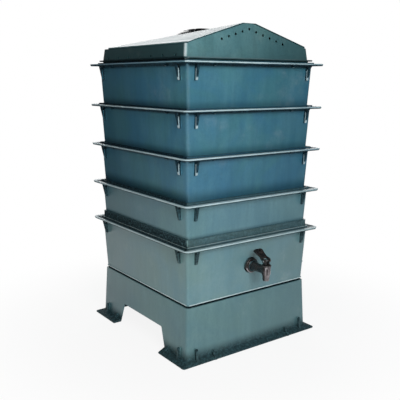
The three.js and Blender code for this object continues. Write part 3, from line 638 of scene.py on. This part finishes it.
def collectingTray():
    x, y, corner, wall = (collector[key] for key in ("halfX", "halfY", "corner", "wall"))
    level, foot, narrow = collector["rim"], collector["foot"], collector["narrowing"]
    perMm = narrow / (level - foot)
    collarX, collarY = tray["halfX"], tray["halfY"]
    top = level + rim["height"]
    bead = collector["bead"]

    def at(height, out):
        inset = (level - height) * perMm
        return x - inset + out, y - inset + out, corner + min(out, 0), height

    bm = bmesh.new()
    bowlIn = collector["bowlNarrowing"]
    loft(bm, [
        at(foot, bead * 0.4),
        at(foot + 0.6, bead),
        at(foot + 2.6, bead),
        at(foot + 3.6, 0),
        *coveLevels(x, y, corner, level, perMm),
        *rimLevels(level),
        (collarX, collarY, corner, top),
        (collarX, collarY, corner, collector["collarTop"]),
        (collarX - wall, collarY - wall, corner - wall, collector["collarTop"]),
        (collarX - wall - bowlIn, collarY - wall - bowlIn, corner - wall, collector["floorFront"]),
        at(foot + 6, -wall),
        at(foot, -wall),
    ], closed=True)

    # boss for the tap, and the hole through it
    inward = (Matrix.Translation((0, -collector["bossFace"], collector["tapLevel"]))
              @ Matrix.Rotation(-pi / 2, 4, "X"))
    boss = bmesh.new()
    rod(boss, collector["bossRadius"], collector["bossFace"] - collector["bossInner"], inward, 48)
    bm = combine(bm, boss, "UNION")
    hole = bmesh.new()
    rod(hole, collector["tapHole"], 30, inward @ Matrix.Translation((0, 0, -10)), 48)
    bm = combine(bm, hole, "DIFFERENCE")

    gussetRing(bm, rimGussets, gussetThickness["rim"], x, y, level, -1, rim["lip"] - 1)
    stopTop = tray["topRim"] - 4 * tray["pitch"] + rim["height"] - tray["nest"] - stopGap
    lean = bowlIn / (collector["collarTop"] - collector["floorFront"])
    wallIn = wall / 2 + (collector["collarTop"] - stopTop) * lean
    stops(bm, collarX - wallIn, collarY - wallIn, lean, collector["floorFront"] - 1, stopTop)

    # tabs round the collar that the tray above centres on
    half = collector["tabWidth"] / 2
    reachX, reachY = collarX + collector["tabProud"], collarY + collector["tabProud"]
    for wallSide in (-1, 1):
        for end in (-1, 1):
            front, side = end * rimGussets["corner"]["front"], end * rimGussets["corner"]["side"]
            slab(bm, (front - half, wallSide * (collarY - 2), top - 1),
                 (front + half, wallSide * reachY, collector["collarTop"] - 1))
            slab(bm, (wallSide * (collarX - 2), side - half, top - 1),
                 (wallSide * reachX, side + half, collector["collarTop"] - 1))

    # floor, falling towards the tap
    tilt = Matrix.Rotation(tiltOfFloor, 4, "X")
    middle = (collector["floorFront"] + collector["floorBack"] - collector["floorThickness"]) / 2
    size = Matrix.Diagonal((2 * (x - narrow + 0.5), 2 * (y - narrow + 0.5), collector["floorThickness"], 1))
    bmesh.ops.create_cube(bm, size=1, matrix=Matrix.Translation((0, 0, middle)) @ tilt @ size)
    piece("collectorShell", bm, collectorFinish, "collector", ["collector_tray"], "green_plastic")
    print("collecting tray made")


# Stand

stand = {"deck": 136, "deckThickness": 4, "topX": 182, "topY": 196, "spread": 6, "wall": 3.5,
         "corner": 8, "lipX": 175.5, "lipY": 189.5, "lipWall": 3, "lipHeight": 6,
         "footX": 207, "footY": 216.5, "footCorner": 5, "footEdge": 3, "footRise": 10,
         "archBottom": 111, "archTop": 92, "archHeight": 56, "archCorner": 3.5, "rebate": 3.8}


def archedStand():
    deck, spread, wall = stand["deck"], stand["spread"], stand["wall"]
    perMm = spread / deck

    def at(height, out, corner=stand["corner"]):
        inset = (deck - height) * perMm
        return stand["topX"] + inset + out, stand["topY"] + inset + out, corner, height

    bm = bmesh.new()
    under = deck - stand["deckThickness"]
    lipX, lipY, lipWall, rebate = stand["lipX"], stand["lipY"], stand["lipWall"], stand["rebate"]
    loft(bm, [
        at(under, -wall, stand["corner"] - wall),
        at(0, -wall, stand["corner"] - wall),
        (stand["footX"], stand["footY"], stand["footCorner"], 0),
        (stand["footX"], stand["footY"], stand["footCorner"], stand["footEdge"]),
        at(stand["footRise"], 0, stand["footCorner"] + 1),
        at(stand["footRise"] + 6, 0),
        at(deck - rebate - 0.4, 0),
        at(deck - rebate, -rebate),
        at(deck, -rebate),
        (lipX, lipY, 8, deck),
        (lipX, lipY, 8, deck + stand["lipHeight"]),
        (lipX - lipWall, lipY - lipWall, 5, deck + stand["lipHeight"]),
        (lipX - lipWall, lipY - lipWall, 5, deck),
    ])
    archway = bmesh.new()
    low, high = stand["archBottom"], stand["archTop"]
    height, corner = stand["archHeight"], stand["archCorner"]
    right = bend((high, height - corner), (high, height), (high - corner, height), 4)
    left = [(-a, b) for a, b in reversed(right)]
    plate(archway, [(-low, -1), (low, -1), *right, *left], 500, Matrix.Rotation(pi / 2, 4, "Z"))
    bm = combine(bm, archway, "DIFFERENCE")
    gussetRing(bm, footGussets, gussetThickness["foot"], stand["topX"] + spread, stand["topY"] + spread,
               0, 1, -0.2)
    piece("standShell", bm, standFinish, "stand", ["base_stand"], "green_plastic")
    print("stand made")


# Lid

lid = {"foot": 681, "lipX": 186.5, "lipY": 200.5, "lip": 3, "halfX": 182.7, "halfY": 186.7,
       "corner": 8, "lean": 0.12, "eave": 711.6, "wall": 3, "roofX": 171, "roofBack": 175,
       "roofTop": 761.4, "roofBackTop": 715.2, "ridgeHalf": 19, "slope": 0.302,
       "plugX": 180.2, "plugY": 190, "plugWall": 2.5, "plugDrop": 13,
       "ventRadius": 3, "ventPitch": 20, "ventBelowRoof": 13, "ventsLeft": 4, "ventsRight": 5,
       "sideVentPitch": 50.5, "sideVentLevel": 688.4, "sideVents": 3,
       "grooveBelow": 1.6, "grooveWidth": 1.5, "grooveDepth": 1.1}
ridgeFront = -(lid["halfY"] - lid["lean"] * (lid["roofTop"] - lid["foot"]))
ridgeFall = (lid["roofTop"] - lid["roofBackTop"]) / (lid["roofBack"] - ridgeFront)


def lidLevel(height, inset):
    lean = lid["lean"] * (height - lid["foot"])
    return lid["halfX"] - inset - lean, lid["halfY"] - inset - lean, lid["corner"] - inset, height


def roofSolid(inset, bottom):
    # a block with its three slopes and leaning front cut off it
    bm = bmesh.new()
    top = lid["roofTop"] + 20
    front, back = ridgeFront - 40, lid["roofBack"] - inset
    half = (back - front) / 2
    loft(bm, [(lid["roofX"] - inset, half, 4, bottom), (lid["roofX"] - inset, half, 4, top)])
    bmesh.ops.translate(bm, verts=bm.verts, vec=(0, (front + back) / 2, 0))
    sideTop = lid["roofTop"] + lid["ridgeHalf"] * lid["slope"] - inset
    planes = [
        ((0, 0, sideTop), (lid["slope"], 0, 1)),
        ((0, 0, sideTop), (-lid["slope"], 0, 1)),
        ((0, ridgeFront, lid["roofTop"] - inset), (0, ridgeFall, 1)),
        ((0, inset - lid["halfY"], lid["foot"]), (0, -1, lid["lean"])),
    ]
    for at, facing in planes:
        cut = bmesh.ops.bisect_plane(bm, geom=bm.verts[:] + bm.edges[:] + bm.faces[:], plane_co=at,
                                     plane_no=facing, clear_outer=True)
        opened = [item for item in cut["geom_cut"] if isinstance(item, bmesh.types.BMEdge)]
        bmesh.ops.edgeloop_fill(bm, edges=opened)
    return bm


def gableGroove():
    # drawn as a fine line below the roof's edge; as plate() joins it, it covers more of the wall
    edge, ridge, below, width = lid["roofX"] - 1, lid["ridgeHalf"], lid["grooveBelow"], lid["grooveWidth"]
    crown = lid["roofTop"] - lid["foot"] - below
    low = crown - (edge - ridge) * lid["slope"]
    upper = [(-edge, low), (-ridge, crown), (ridge, crown), (edge, low)]
    lower = [(x, z - width) for x, z in reversed(upper)]
    groove = bmesh.new()
    leaning = Matrix.Translation((0, -lid["halfY"], lid["foot"]))
    leaning[1][2] = lid["lean"]
    plate(groove, upper + lower, 2 * lid["grooveDepth"], leaning)
    return groove


def roofedLid():
    foot, eave, wall = lid["foot"], lid["eave"], lid["wall"]
    plugX, plugY, plugWall = lid["plugX"], lid["plugY"], lid["plugWall"]
    outer = bmesh.new()
    loft(outer, [
        (plugX, plugY, 6, foot - lid["plugDrop"]),
        (plugX, plugY, 6, foot),
        (lid["lipX"], lid["lipY"], 10, foot),
        (lid["lipX"], lid["lipY"], 10, foot + lid["lip"]),
        lidLevel(foot + lid["lip"], 0),
        lidLevel(eave, 0),
    ])
    outer = combine(outer, roofSolid(0, eave - 2), "UNION")
    hollow = bmesh.new()
    innerX = plugX - plugWall
    loft(hollow, [
        (innerX, plugY - plugWall, 4, foot - lid["plugDrop"] - 1),
        (innerX, plugY - plugWall, 4, foot - 0.2),
        (innerX, lidLevel(foot, wall)[1], 4, foot),
        lidLevel(eave - wall, wall),
    ])
    hollow = combine(hollow, roofSolid(wall, eave - wall - 2), "UNION")
    bm = combine(outer, hollow, "DIFFERENCE")

    vents = bmesh.new()
    through = Matrix.Rotation(-pi / 2, 4, "X")
    for i in range(-lid["ventsLeft"], lid["ventsRight"] + 1):
        height = lid["roofTop"] - lid["ventBelowRoof"] - abs(i) * lid["ventPitch"] * lid["slope"]
        start = Matrix.Translation((i * lid["ventPitch"], -lid["halfY"] - 5, height))
        rod(vents, lid["ventRadius"], 20, start @ through, 16)
    for i in range(-lid["sideVents"], lid["sideVents"] + 1):
        along = i * lid["sideVentPitch"]
        across = Matrix.Translation((-250, along, lid["sideVentLevel"])) @ Matrix.Rotation(pi / 2, 4, "Y")
        rod(vents, lid["ventRadius"], 500, across, 16)
        rear = Matrix.Translation((along, lid["halfY"] - 8, lid["sideVentLevel"])) @ through
        rod(vents, lid["ventRadius"], 20, rear, 16)
    bm = combine(bm, vents, "DIFFERENCE")
    bm = combine(bm, gableGroove(), "DIFFERENCE")
    piece("lidShell", bm, lidFinish, "lid", ["lid"], "green_plastic", edge=0.7)
    print("lid made")


# Grip

grip = {"front": -64, "back": 104, "halfWidth": 13, "top": 761, "thickness": 6, "foot": 18,
        "shoulder": 747.5, "round": 2.2}


def roofGrip():
    front, back, top, foot = grip["front"], grip["back"], grip["top"], grip["foot"]
    middle, under = (front + back) / 2, top - grip["thickness"]
    shoulder, inner = grip["shoulder"], grip["shoulder"] + 1

    def roofAt(y):
        return lid["roofTop"] - (y - ridgeFront) * ridgeFall + 0.3

    outline = [
        (front, roofAt(front)),
        *bend((front, shoulder), (front + 16, top), (middle, top), 12),
        *bend((middle, top), (back - 16, top), (back, shoulder), 12)[1:],
        (back, roofAt(back)),
        (back - foot, roofAt(back - foot)),
        *bend((back - foot, inner), (back - foot - 12, under), (middle, under), 12),
        *bend((middle, under), (front + foot + 12, under), (front + foot, inner), 12)[1:],
        (front + foot, roofAt(front + foot)),
    ]
    bm = bmesh.new()
    plate(bm, outline, 2 * grip["halfWidth"], Matrix.Rotation(pi / 2, 4, "Z"))
    piece("gripBar", bm, gripFinish, "lid", ["lid_handle"], "black_plastic", edge=grip["round"], segments=4)
    print("grip made")


# Screws that hold the grip from inside the lid

screw = {"head": 5, "headHeight": 3, "shank": 2, "bite": 4.5, "slot": 0.6, "slotReach": 0.55,
         "slotDepth": 1.1, "clearance": 0.3}


def gripScrews():
    tilt = atan(ridgeFall)
    places = {"front": grip["front"] + grip["foot"] / 2, "back": grip["back"] - grip["foot"] / 2}
    head, shank, slot = screw["head"], screw["shank"], screw["slot"]
    top = -lid["wall"] * cos(tilt) - screw["clearance"]
    low = top - screw["headHeight"]
    deep, reach = low + screw["slotDepth"], head * screw["slotReach"]
    for side, y in places.items():
        height = lid["roofTop"] - (y - ridgeFront) * ridgeFall
        onRoof = Matrix.Translation((0, y, height)) @ Matrix.Rotation(-tilt, 4, "X")
        bm = turnedBody([(0, low), (head * 0.5, low + 0.15), (head * 0.82, low + 0.9), (head, low + 2.2),
                         (head, top), (shank, top), (shank, screw["bite"] - 1), (0, screw["bite"])],
                        onRoof, 28)
        # the cross is cut one bar at a time, because two bars at once leave an empty mesh
        for halfX, halfY, bottom in ((reach, slot, deep), (slot, reach, deep + 0.05)):
            cut = bmesh.new()
            slab(cut, (-halfX, -halfY, low - 1), (halfX, halfY, bottom))
            bmesh.ops.transform(cut, matrix=onRoof, verts=cut.verts)
            bm = combine(bm, cut, "DIFFERENCE")
        piece(f"{side}Screw", bm, steelFinish, "lid", [f"lid_screw_{side}"], "screw_steel", edge=0.15)
    print("screws made")


# Ladder for the worms, on the collector's floor

ladder = {"halfBottom": 84, "halfTop": 55, "height": 66, "wall": 2.5, "brim": 7, "corner": 8,
          "slotPitch": 34, "slotHalf": 10, "slotHeight": 8, "slotLevels": (16, 36), "holePitch": 30,
          "holeRadius": 6, "clearance": 0.3}


def wormLadder():
    low, high, height, wall = (ladder[key] for key in ("halfBottom", "halfTop", "height", "wall"))
    brim, corner = low + ladder["brim"], ladder["corner"]
    lean = (low - high) / height
    bm = bmesh.new()
    loft(bm, [
        (high - wall + lean * wall, high - wall + lean * wall, corner - wall, height - wall),
        (low - wall, low - wall, corner - wall, 0),
        (brim, brim, corner + wall, 0),
        (brim, brim, corner + wall, wall),
        (low - lean * wall, low - lean * wall, corner, wall),
        (high, high, corner, height),
    ])
    cuts = bmesh.new()
    steps = (-1, 0, 1)
    for step in steps:
        start, end = (step * ladder["slotPitch"] + side * ladder["slotHalf"] for side in (-1, 1))
        for level in ladder["slotLevels"]:
            top = level + ladder["slotHeight"]
            for wallSide in (-1, 1):
                slab(cuts, (start, wallSide * low / 2, level), (end, wallSide * low * 1.2, top))
                slab(cuts, (wallSide * low / 2, start, level), (wallSide * low * 1.2, end, top))
        for other in steps:
            at = (step * ladder["holePitch"], other * ladder["holePitch"], height - 10)
            rod(cuts, ladder["holeRadius"], 20, Matrix.Translation(at), sides=20)
    bm = combine(bm, cuts, "DIFFERENCE")
    level = (collector["floorFront"] + collector["floorBack"]) / 2 + ladder["clearance"]
    seat = Matrix.Translation((0, 0, level)) @ Matrix.Rotation(tiltOfFloor, 4, "X")
    bmesh.ops.transform(bm, matrix=seat, verts=bm.verts)
    piece("ladderHump", bm, ladderFinish, "collector", ["worm_ladder"], "green_plastic", edge=0.6)
    print("ladder made")


# Tap, with its axis square to the front wall

tap = {"reach": 54, "gap": 0.3, "gasket": 1.5, "flange": 17.7, "flangeThick": 4, "collarRing": 14.4,
       "thread": 13.2, "threadDepth": 0.7, "threadPitch": 1.8, "shank": 23, "barrel": 11, "neck": 9.9,
       "bore": 7, "chamber": 10.5, "chamberBore": 7.5, "top": 10, "seat": -8, "spout": 7.5,
       "spoutEnd": -24, "spoutBore": 5, "nutFlats": 34, "nutThick": 9, "hole": 13.6, "washer": 17,
       "pivot": 24}
cap = {"radius": 11.5, "plate": 4.2, "skirt": 4, "skirtOuter": 7.1, "skirtInner": 6.2, "stemHole": 2.8,
       "earMiddle": 5, "earThick": 2.8, "earHalf": 4.5, "pinHole": 2.4, "ribs": 28, "ribRadius": 0.45}
lever = {"length": 38, "lean": 60, "start": 8, "tipHalf": 13, "waistHalf": 9, "rootHalf": 9.8, "corner": 5,
         "thickness": 4, "cheek": 2.7, "hub": 5.2, "armHalf": 4.2, "pin": 2.1, "pinHalf": 10.6,
         "ridges": (25, 28.5, 32), "ridgeRadius": 0.9, "ridgeHalf": 8.5}
outward = (Matrix.Translation((0, -collector["bossFace"], collector["tapLevel"]))
           @ Matrix.Rotation(pi / 2, 4, "X"))
upright = Matrix.Translation((0, -collector["bossFace"] - tap["reach"], collector["tapLevel"]))
alongX = Matrix.Rotation(pi / 2, 4, "Y")
acrossX = Matrix.Rotation(pi / 2, 4, "Z")


def tapBody():
    back = 2 * tap["gap"] + tap["gasket"]
    front = back + tap["flangeThick"]
    flange, barrel, neck, thread = tap["flange"], tap["barrel"], tap["neck"], tap["thread"]
    half = tap["threadPitch"] / 2
    crests = int((tap["shank"] + back) / half) - 1
    ridges = [(thread - tap["threadDepth"] * (step % 2), half * (step + 0.5) - tap["shank"])
              for step in range(crests)]
    profile = [
        (0, -tap["shank"]), (thread - 1.2, -tap["shank"]), *ridges, (thread - 0.6, back),
        (flange - 0.6, back), (flange, back + 0.6), (flange, front - 1.2), (flange - 0.4, front - 0.4),
        (flange - 1.2, front), (tap["collarRing"] + 0.3, front), (tap["collarRing"], front + 0.4),
        (tap["collarRing"], front + 1.8), (tap["collarRing"] - 0.6, front + 2.4),
        (barrel + 1, front + 2.6), (barrel + 0.2, front + 3.4), (barrel, front + 5), (barrel, front + 13),
        (neck + 0.2, front + 18), (neck, front + 20), (neck, tap["reach"]), (0, tap["reach"]),
    ]
    bm = turnedBody(profile, outward, 48)
    end, seat, top, spout, radius = (tap[key] for key in ("spoutEnd", "seat", "top", "spout", "chamber"))
    column = turnedBody([
        (0, end), (spout - 0.5, end), (spout, end + 0.6), (radius - 1.6, seat - 2.5),
        (radius - 0.5, seat - 0.8), (radius, seat + 0.6), (radius, top - 0.6), (radius - 0.5, top), (0, top),
    ], upright, 48)
    bm = combine(bm, column, "UNION")
    inlet = turnedBody([(0, -tap["shank"] - 1), (tap["bore"], -tap["shank"] - 1),
                        (tap["bore"], tap["reach"] - 1), (0, tap["reach"] - 1)], outward, 32)
    bm = combine(bm, inlet, "DIFFERENCE")
    bore = turnedBody([(0, end - 1), (tap["spoutBore"], end - 1), (tap["spoutBore"], seat),
                       (tap["chamberBore"], seat), (tap["chamberBore"], top + 1), (0, top + 1)], upright, 36)
    bm = combine(bm, bore, "DIFFERENCE")
    piece("tapBarrel", bm, tapFinish, "collector", ["tap_body"], "tap_plastic", edge=0.25, sharp=40)


def tapCap():
    low = tap["top"] + tap["gap"]
    high = low + cap["plate"]
    radius, skirtLow = cap["radius"], low - cap["skirt"]
    bm = turnedBody([
        (cap["stemHole"], low), (cap["skirtInner"], low), (cap["skirtInner"], skirtLow),
        (cap["skirtOuter"], skirtLow), (cap["skirtOuter"], low), (radius - 0.5, low), (radius, low + 0.5),
        (radius, high - 1), (radius - 1, high), (cap["stemHole"], high),
    ], upright, 56)
    for step in range(cap["ribs"]):
        around = Matrix.Rotation(2 * pi * step / cap["ribs"], 4, "Z")
        place = upright @ around @ Matrix.Translation((radius - 0.1, 0, low + 0.6))
        rod(bm, cap["ribRadius"], cap["plate"] - 1.8, place, sides=8)
    half, pivot = cap["earHalf"], tap["pivot"]
    arc = [(half * cos(radians(angle)), pivot + half * sin(radians(angle))) for angle in range(0, 181, 15)]
    for side in (-1, 1):
        ear = bmesh.new()
        plate(ear, [(-half, high - 0.8), (half, high - 0.8), *arc], cap["earThick"],
              upright @ Matrix.Translation((side * cap["earMiddle"], 0, 0)) @ acrossX)
        hole = bmesh.new()
        rod(hole, cap["pinHole"], 30, upright @ Matrix.Translation((-15, 0, pivot)) @ alongX, 20)
        ear = combine(ear, hole, "DIFFERENCE")
        joined = bpy.data.meshes.new("ear")
        ear.to_mesh(joined)
        ear.free()
        bm.from_mesh(joined)
        bpy.data.meshes.remove(joined)
    piece("tapCap", bm, tapFinish, "collector", ["tap_bonnet"], "tap_plastic", edge=0.3, sharp=40)


def tapLever():
    leaned = (upright @ Matrix.Translation((0, 0, tap["pivot"]))
              @ Matrix.Rotation(radians(-lever["lean"]), 4, "X"))
    start, length, corner = lever["start"], lever["length"], lever["corner"]
    root, waist, tip = lever["rootHalf"], lever["waistHalf"], lever["tipHalf"]
    right = [(root, start), *bend((root, start + 2), (waist, start + 8), (tip, length - corner), 8),
             *bend((tip, length - corner), (tip, length), (tip - corner, length), 6)[1:],
             (tip - corner - 3, length + 0.3)]
    outline = right + [(-x, z) for x, z in reversed(right)]
    bm = bmesh.new()
    plate(bm, outline, lever["thickness"], leaned)
    hub, arm, cheek = lever["hub"], lever["armHalf"], lever["cheek"]
    arc = [(hub * cos(radians(angle)), hub * sin(radians(angle))) for angle in range(-216, 37, 12)]
    for side in (-1, 1):
        middle = Matrix.Translation((side * (root - cheek / 2), 0, 0))
        plate(bm, [*arc, (arm * 0.6, start * 1.6), (-arm * 0.6, start * 1.6)], cheek,
              leaned @ middle @ acrossX)
    for along in lever["ridges"]:
        ridge = Matrix.Translation((-lever["ridgeHalf"], -lever["thickness"] / 2 + 0.2, along)) @ alongX
        rod(bm, lever["ridgeRadius"], 2 * lever["ridgeHalf"], leaned @ ridge, sides=12)
    piece("leverBlade", bm, tapFinish, "lever", ["tap_lever"], "tap_plastic",
          edge=0.7, sharp=40, segments=3)
    pin, half = lever["pin"], lever["pinHalf"]
    bm = turnedBody([(0, -half), (pin * 0.6, -half + 0.1), (pin, -half + 0.6), (pin, half - 0.6),
                     (pin * 0.6, half - 0.1), (0, half)],
                    upright @ Matrix.Translation((0, 0, tap["pivot"])) @ alongX, 24)
    piece("leverPin", bm, steelFinish, "lever", ["tap_lever_pin"], "screw_steel", edge=0)


def tapClamp():
    # gasket outside, washer and nut inside
    gap, thick, hole = tap["gap"], tap["gasket"], tap["hole"]

    def flatRing(outer, low):
        return turnedBody([(hole, low), (outer - 0.3, low), (outer, low + 0.3), (outer, low + thick - 0.3),
                           (outer - 0.3, low + thick), (hole, low + thick)], outward, 48)

    inside = collector["bossInner"] - collector["bossFace"]
    piece("tapGasketRing", flatRing(tap["flange"], gap), rubberFinish, "collector",
          ["tap_gasket"], "rubber", edge=0)
    washerLow = inside - gap - thick
    piece("tapWasherRing", flatRing(tap["washer"], washerLow), rubberFinish, "collector",
          ["tap_inner_washer"], "rubber", edge=0)
    top = washerLow - gap
    low = top - tap["nutThick"]
    point = tap["nutFlats"] / 2 / cos(pi / 6)
    bm = bmesh.new()
    rod(bm, point, tap["nutThick"], outward @ Matrix.Translation((0, 0, low)), sides=6)
    flat = tap["nutFlats"] / 2 - 0.3
    chamfer = turnedBody([(0, low - 0.1), (flat, low - 0.1), (point + 0.2, low + 1.6),
                          (point + 0.2, top - 1.6), (flat, top + 0.1), (0, top + 0.1)], outward, 48)
    bm = combine(bm, chamfer, "INTERSECT")
    through = bmesh.new()
    rod(through, hole, tap["nutThick"] + 2, outward @ Matrix.Translation((0, 0, low - 1)), 40)
    bm = combine(bm, through, "DIFFERENCE")
    piece("tapNut", bm, tapFinish, "collector", ["tap_back_nut"], "tap_plastic", edge=0.3)


workingTrays()
collectingTray()
archedStand()
roofedLid()
roofGrip()
gripScrews()
wormLadder()
tapBody()
tapCap()
tapLever()
tapClamp()
print("tap made")

carried = {"tap_plunger": tapFinish, "tap_seat": rubberFinish, "tap_spring": steelFinish}
for node, finish in carried.items():
    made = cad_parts[node]
    if made.material_slots:
        made.material_slots[0].material = finish
    else:
        made.data.materials.append(finish)


# Floor, world, lamps and camera

studio = {"white": 1.0, "shadowShare": 0.12, "floorHalf": 12.0, "fill": 0.22}


def buildFloor():
    bm = bmesh.new()
    bmesh.ops.create_grid(bm, x_segments=1, y_segments=1, size=studio["floorHalf"])
    mesh = bpy.data.meshes.new("floor")
    bm.to_mesh(mesh)
    bm.free()
    floor = bpy.data.objects.new("floor", mesh)
    bpy.context.collection.objects.link(floor)
    material, finish = newMaterial("white floor")
    x, y = finish.axes()[:2]
    distance = (x * x + y * y).root()
    direct = finish.add("ShaderNodeLightPath", output="Is Camera Ray")
    mirrored = finish.add("ShaderNodeLightPath", output="Is Glossy Ray")
    white = finish.add("ShaderNodeEmission", values={"Color": (1, 1, 1, 1), "Strength": studio["white"]})
    matt = finish.add("ShaderNodeBsdfDiffuse", values={"Color": (0.8, 0.8, 0.8, 1)})
    dim = finish.add("ShaderNodeBsdfDiffuse", values={"Color": (0.03, 0.035, 0.04, 1)})
    # mirrored in the plastic, the floor is white near the stack and falls off into a dark room
    far = distance.fade(0.75, 1.7)
    unlit = finish.add("ShaderNodeMixShader", values={0: mirrored * far, 1: matt, 2: dim})
    share = direct * (1 - (1 - distance.fade(0.3, 0.8)) * studio["shadowShare"]) + mirrored * (1 - far)
    mixed = finish.add("ShaderNodeMixShader", values={0: share, 1: unlit, 2: white})
    finish.add("ShaderNodeOutputMaterial", values={"Surface": mixed})
    mesh.materials.append(material)


def buildWorld():
    world = bpy.data.worlds.new("studio")
    bpy.context.scene.world = world
    world.use_nodes = True
    finish = Finish(world.node_tree)
    direct = finish.add("ShaderNodeLightPath", output="Is Camera Ray")
    white = finish.add("ShaderNodeBackground", values={"Color": (1, 1, 1, 1), "Strength": studio["white"]})
    mirrored = finish.add("ShaderNodeLightPath", output="Is Glossy Ray")
    room = finish.add("ShaderNodeBackground", values={
        "Color": (0.92, 0.96, 1, 1), "Strength": (1 - mirrored * 0.6) * studio["fill"]})
    mixed = finish.add("ShaderNodeMixShader", values={0: direct, 1: room, 2: white})
    finish.add("ShaderNodeOutputWorld", values={"Surface": mixed})


def softbox(name, place, target, size, power, sheen=True, diffuse=True, tint=(1, 1, 1)):
    lamp = bpy.data.lights.new(name, "AREA")
    lamp.shape = "RECTANGLE"
    lamp.size, lamp.size_y = size
    lamp.energy = power
    lamp.color = tint
    made = bpy.data.objects.new(name, lamp)
    bpy.context.collection.objects.link(made)
    made.visible_camera = False
    made.visible_diffuse = diffuse
    made.visible_glossy = sheen
    made.matrix_world = (Matrix.Translation(place)
                         @ (Vector(target) - Vector(place)).to_track_quat("-Z", "Y").to_matrix().to_4x4())


softboxes = {
    "key softbox": {"place": (-0.62, -1.86, 1.15), "target": (0, 0, 0.4), "size": (1.0, 1.0), "power": 33},
    "high back softbox": {"place": (0.88, 2.06, 2.0), "target": (-0.05, 0, 0.72), "size": (2.2, 1.5),
                          "power": 16},
    "low back softbox": {"place": (1.75, 2.4, 1.0), "target": (0, 0, 0.45), "size": (2.4, 0.9), "power": 20},
    "overhead softbox": {"place": (0.9, 1.2, 2.6), "target": (0, 0, 0.5), "size": (2.6, 2.6), "power": 20,
                         "diffuse": False},
    "corner strip": {"place": (-2.2, -1.7, 1.0), "target": (-0.19, -0.2, 0.72), "size": (0.35, 0.7),
                     "power": 10, "diffuse": False},
    "side fill": {"place": (-1.5, -0.9, 0.25), "target": (-0.2, -0.15, 0.15), "size": (1.0, 0.5),
                  "power": 6, "sheen": False, "tint": (1, 0.84, 0.74)}}

# the camera as fitted to the photograph: metres from the stack's middle, and degrees
shot = {"place": (-0.91303, -1.24701, 0.6356), "turn": -36.04, "down": 11.21, "roll": 0.23,
        "lens": 54.37, "sensor": 36}


def buildCamera():
    data = bpy.data.cameras.new("camera")
    data.sensor_fit = "HORIZONTAL"
    data.sensor_width = shot["sensor"]
    data.lens = shot["lens"]
    camera = bpy.data.objects.new("camera", data)
    bpy.context.collection.objects.link(camera)
    across, along, height = shot["place"]
    camera.matrix_world = (Matrix.Translation((across, stackY + along, height))
                           @ Matrix.Rotation(radians(shot["turn"]), 4, "Z")
                           @ Matrix.Rotation(radians(90 - shot["down"]), 4, "X")
                           @ Matrix.Rotation(radians(shot["roll"]), 4, "Z"))
    bpy.context.scene.camera = camera


buildFloor()
buildWorld()
for name, values in softboxes.items():
    softbox(name, **values)
buildCamera()
bpy.context.scene.view_settings.view_transform = "Standard"
print("stage built")
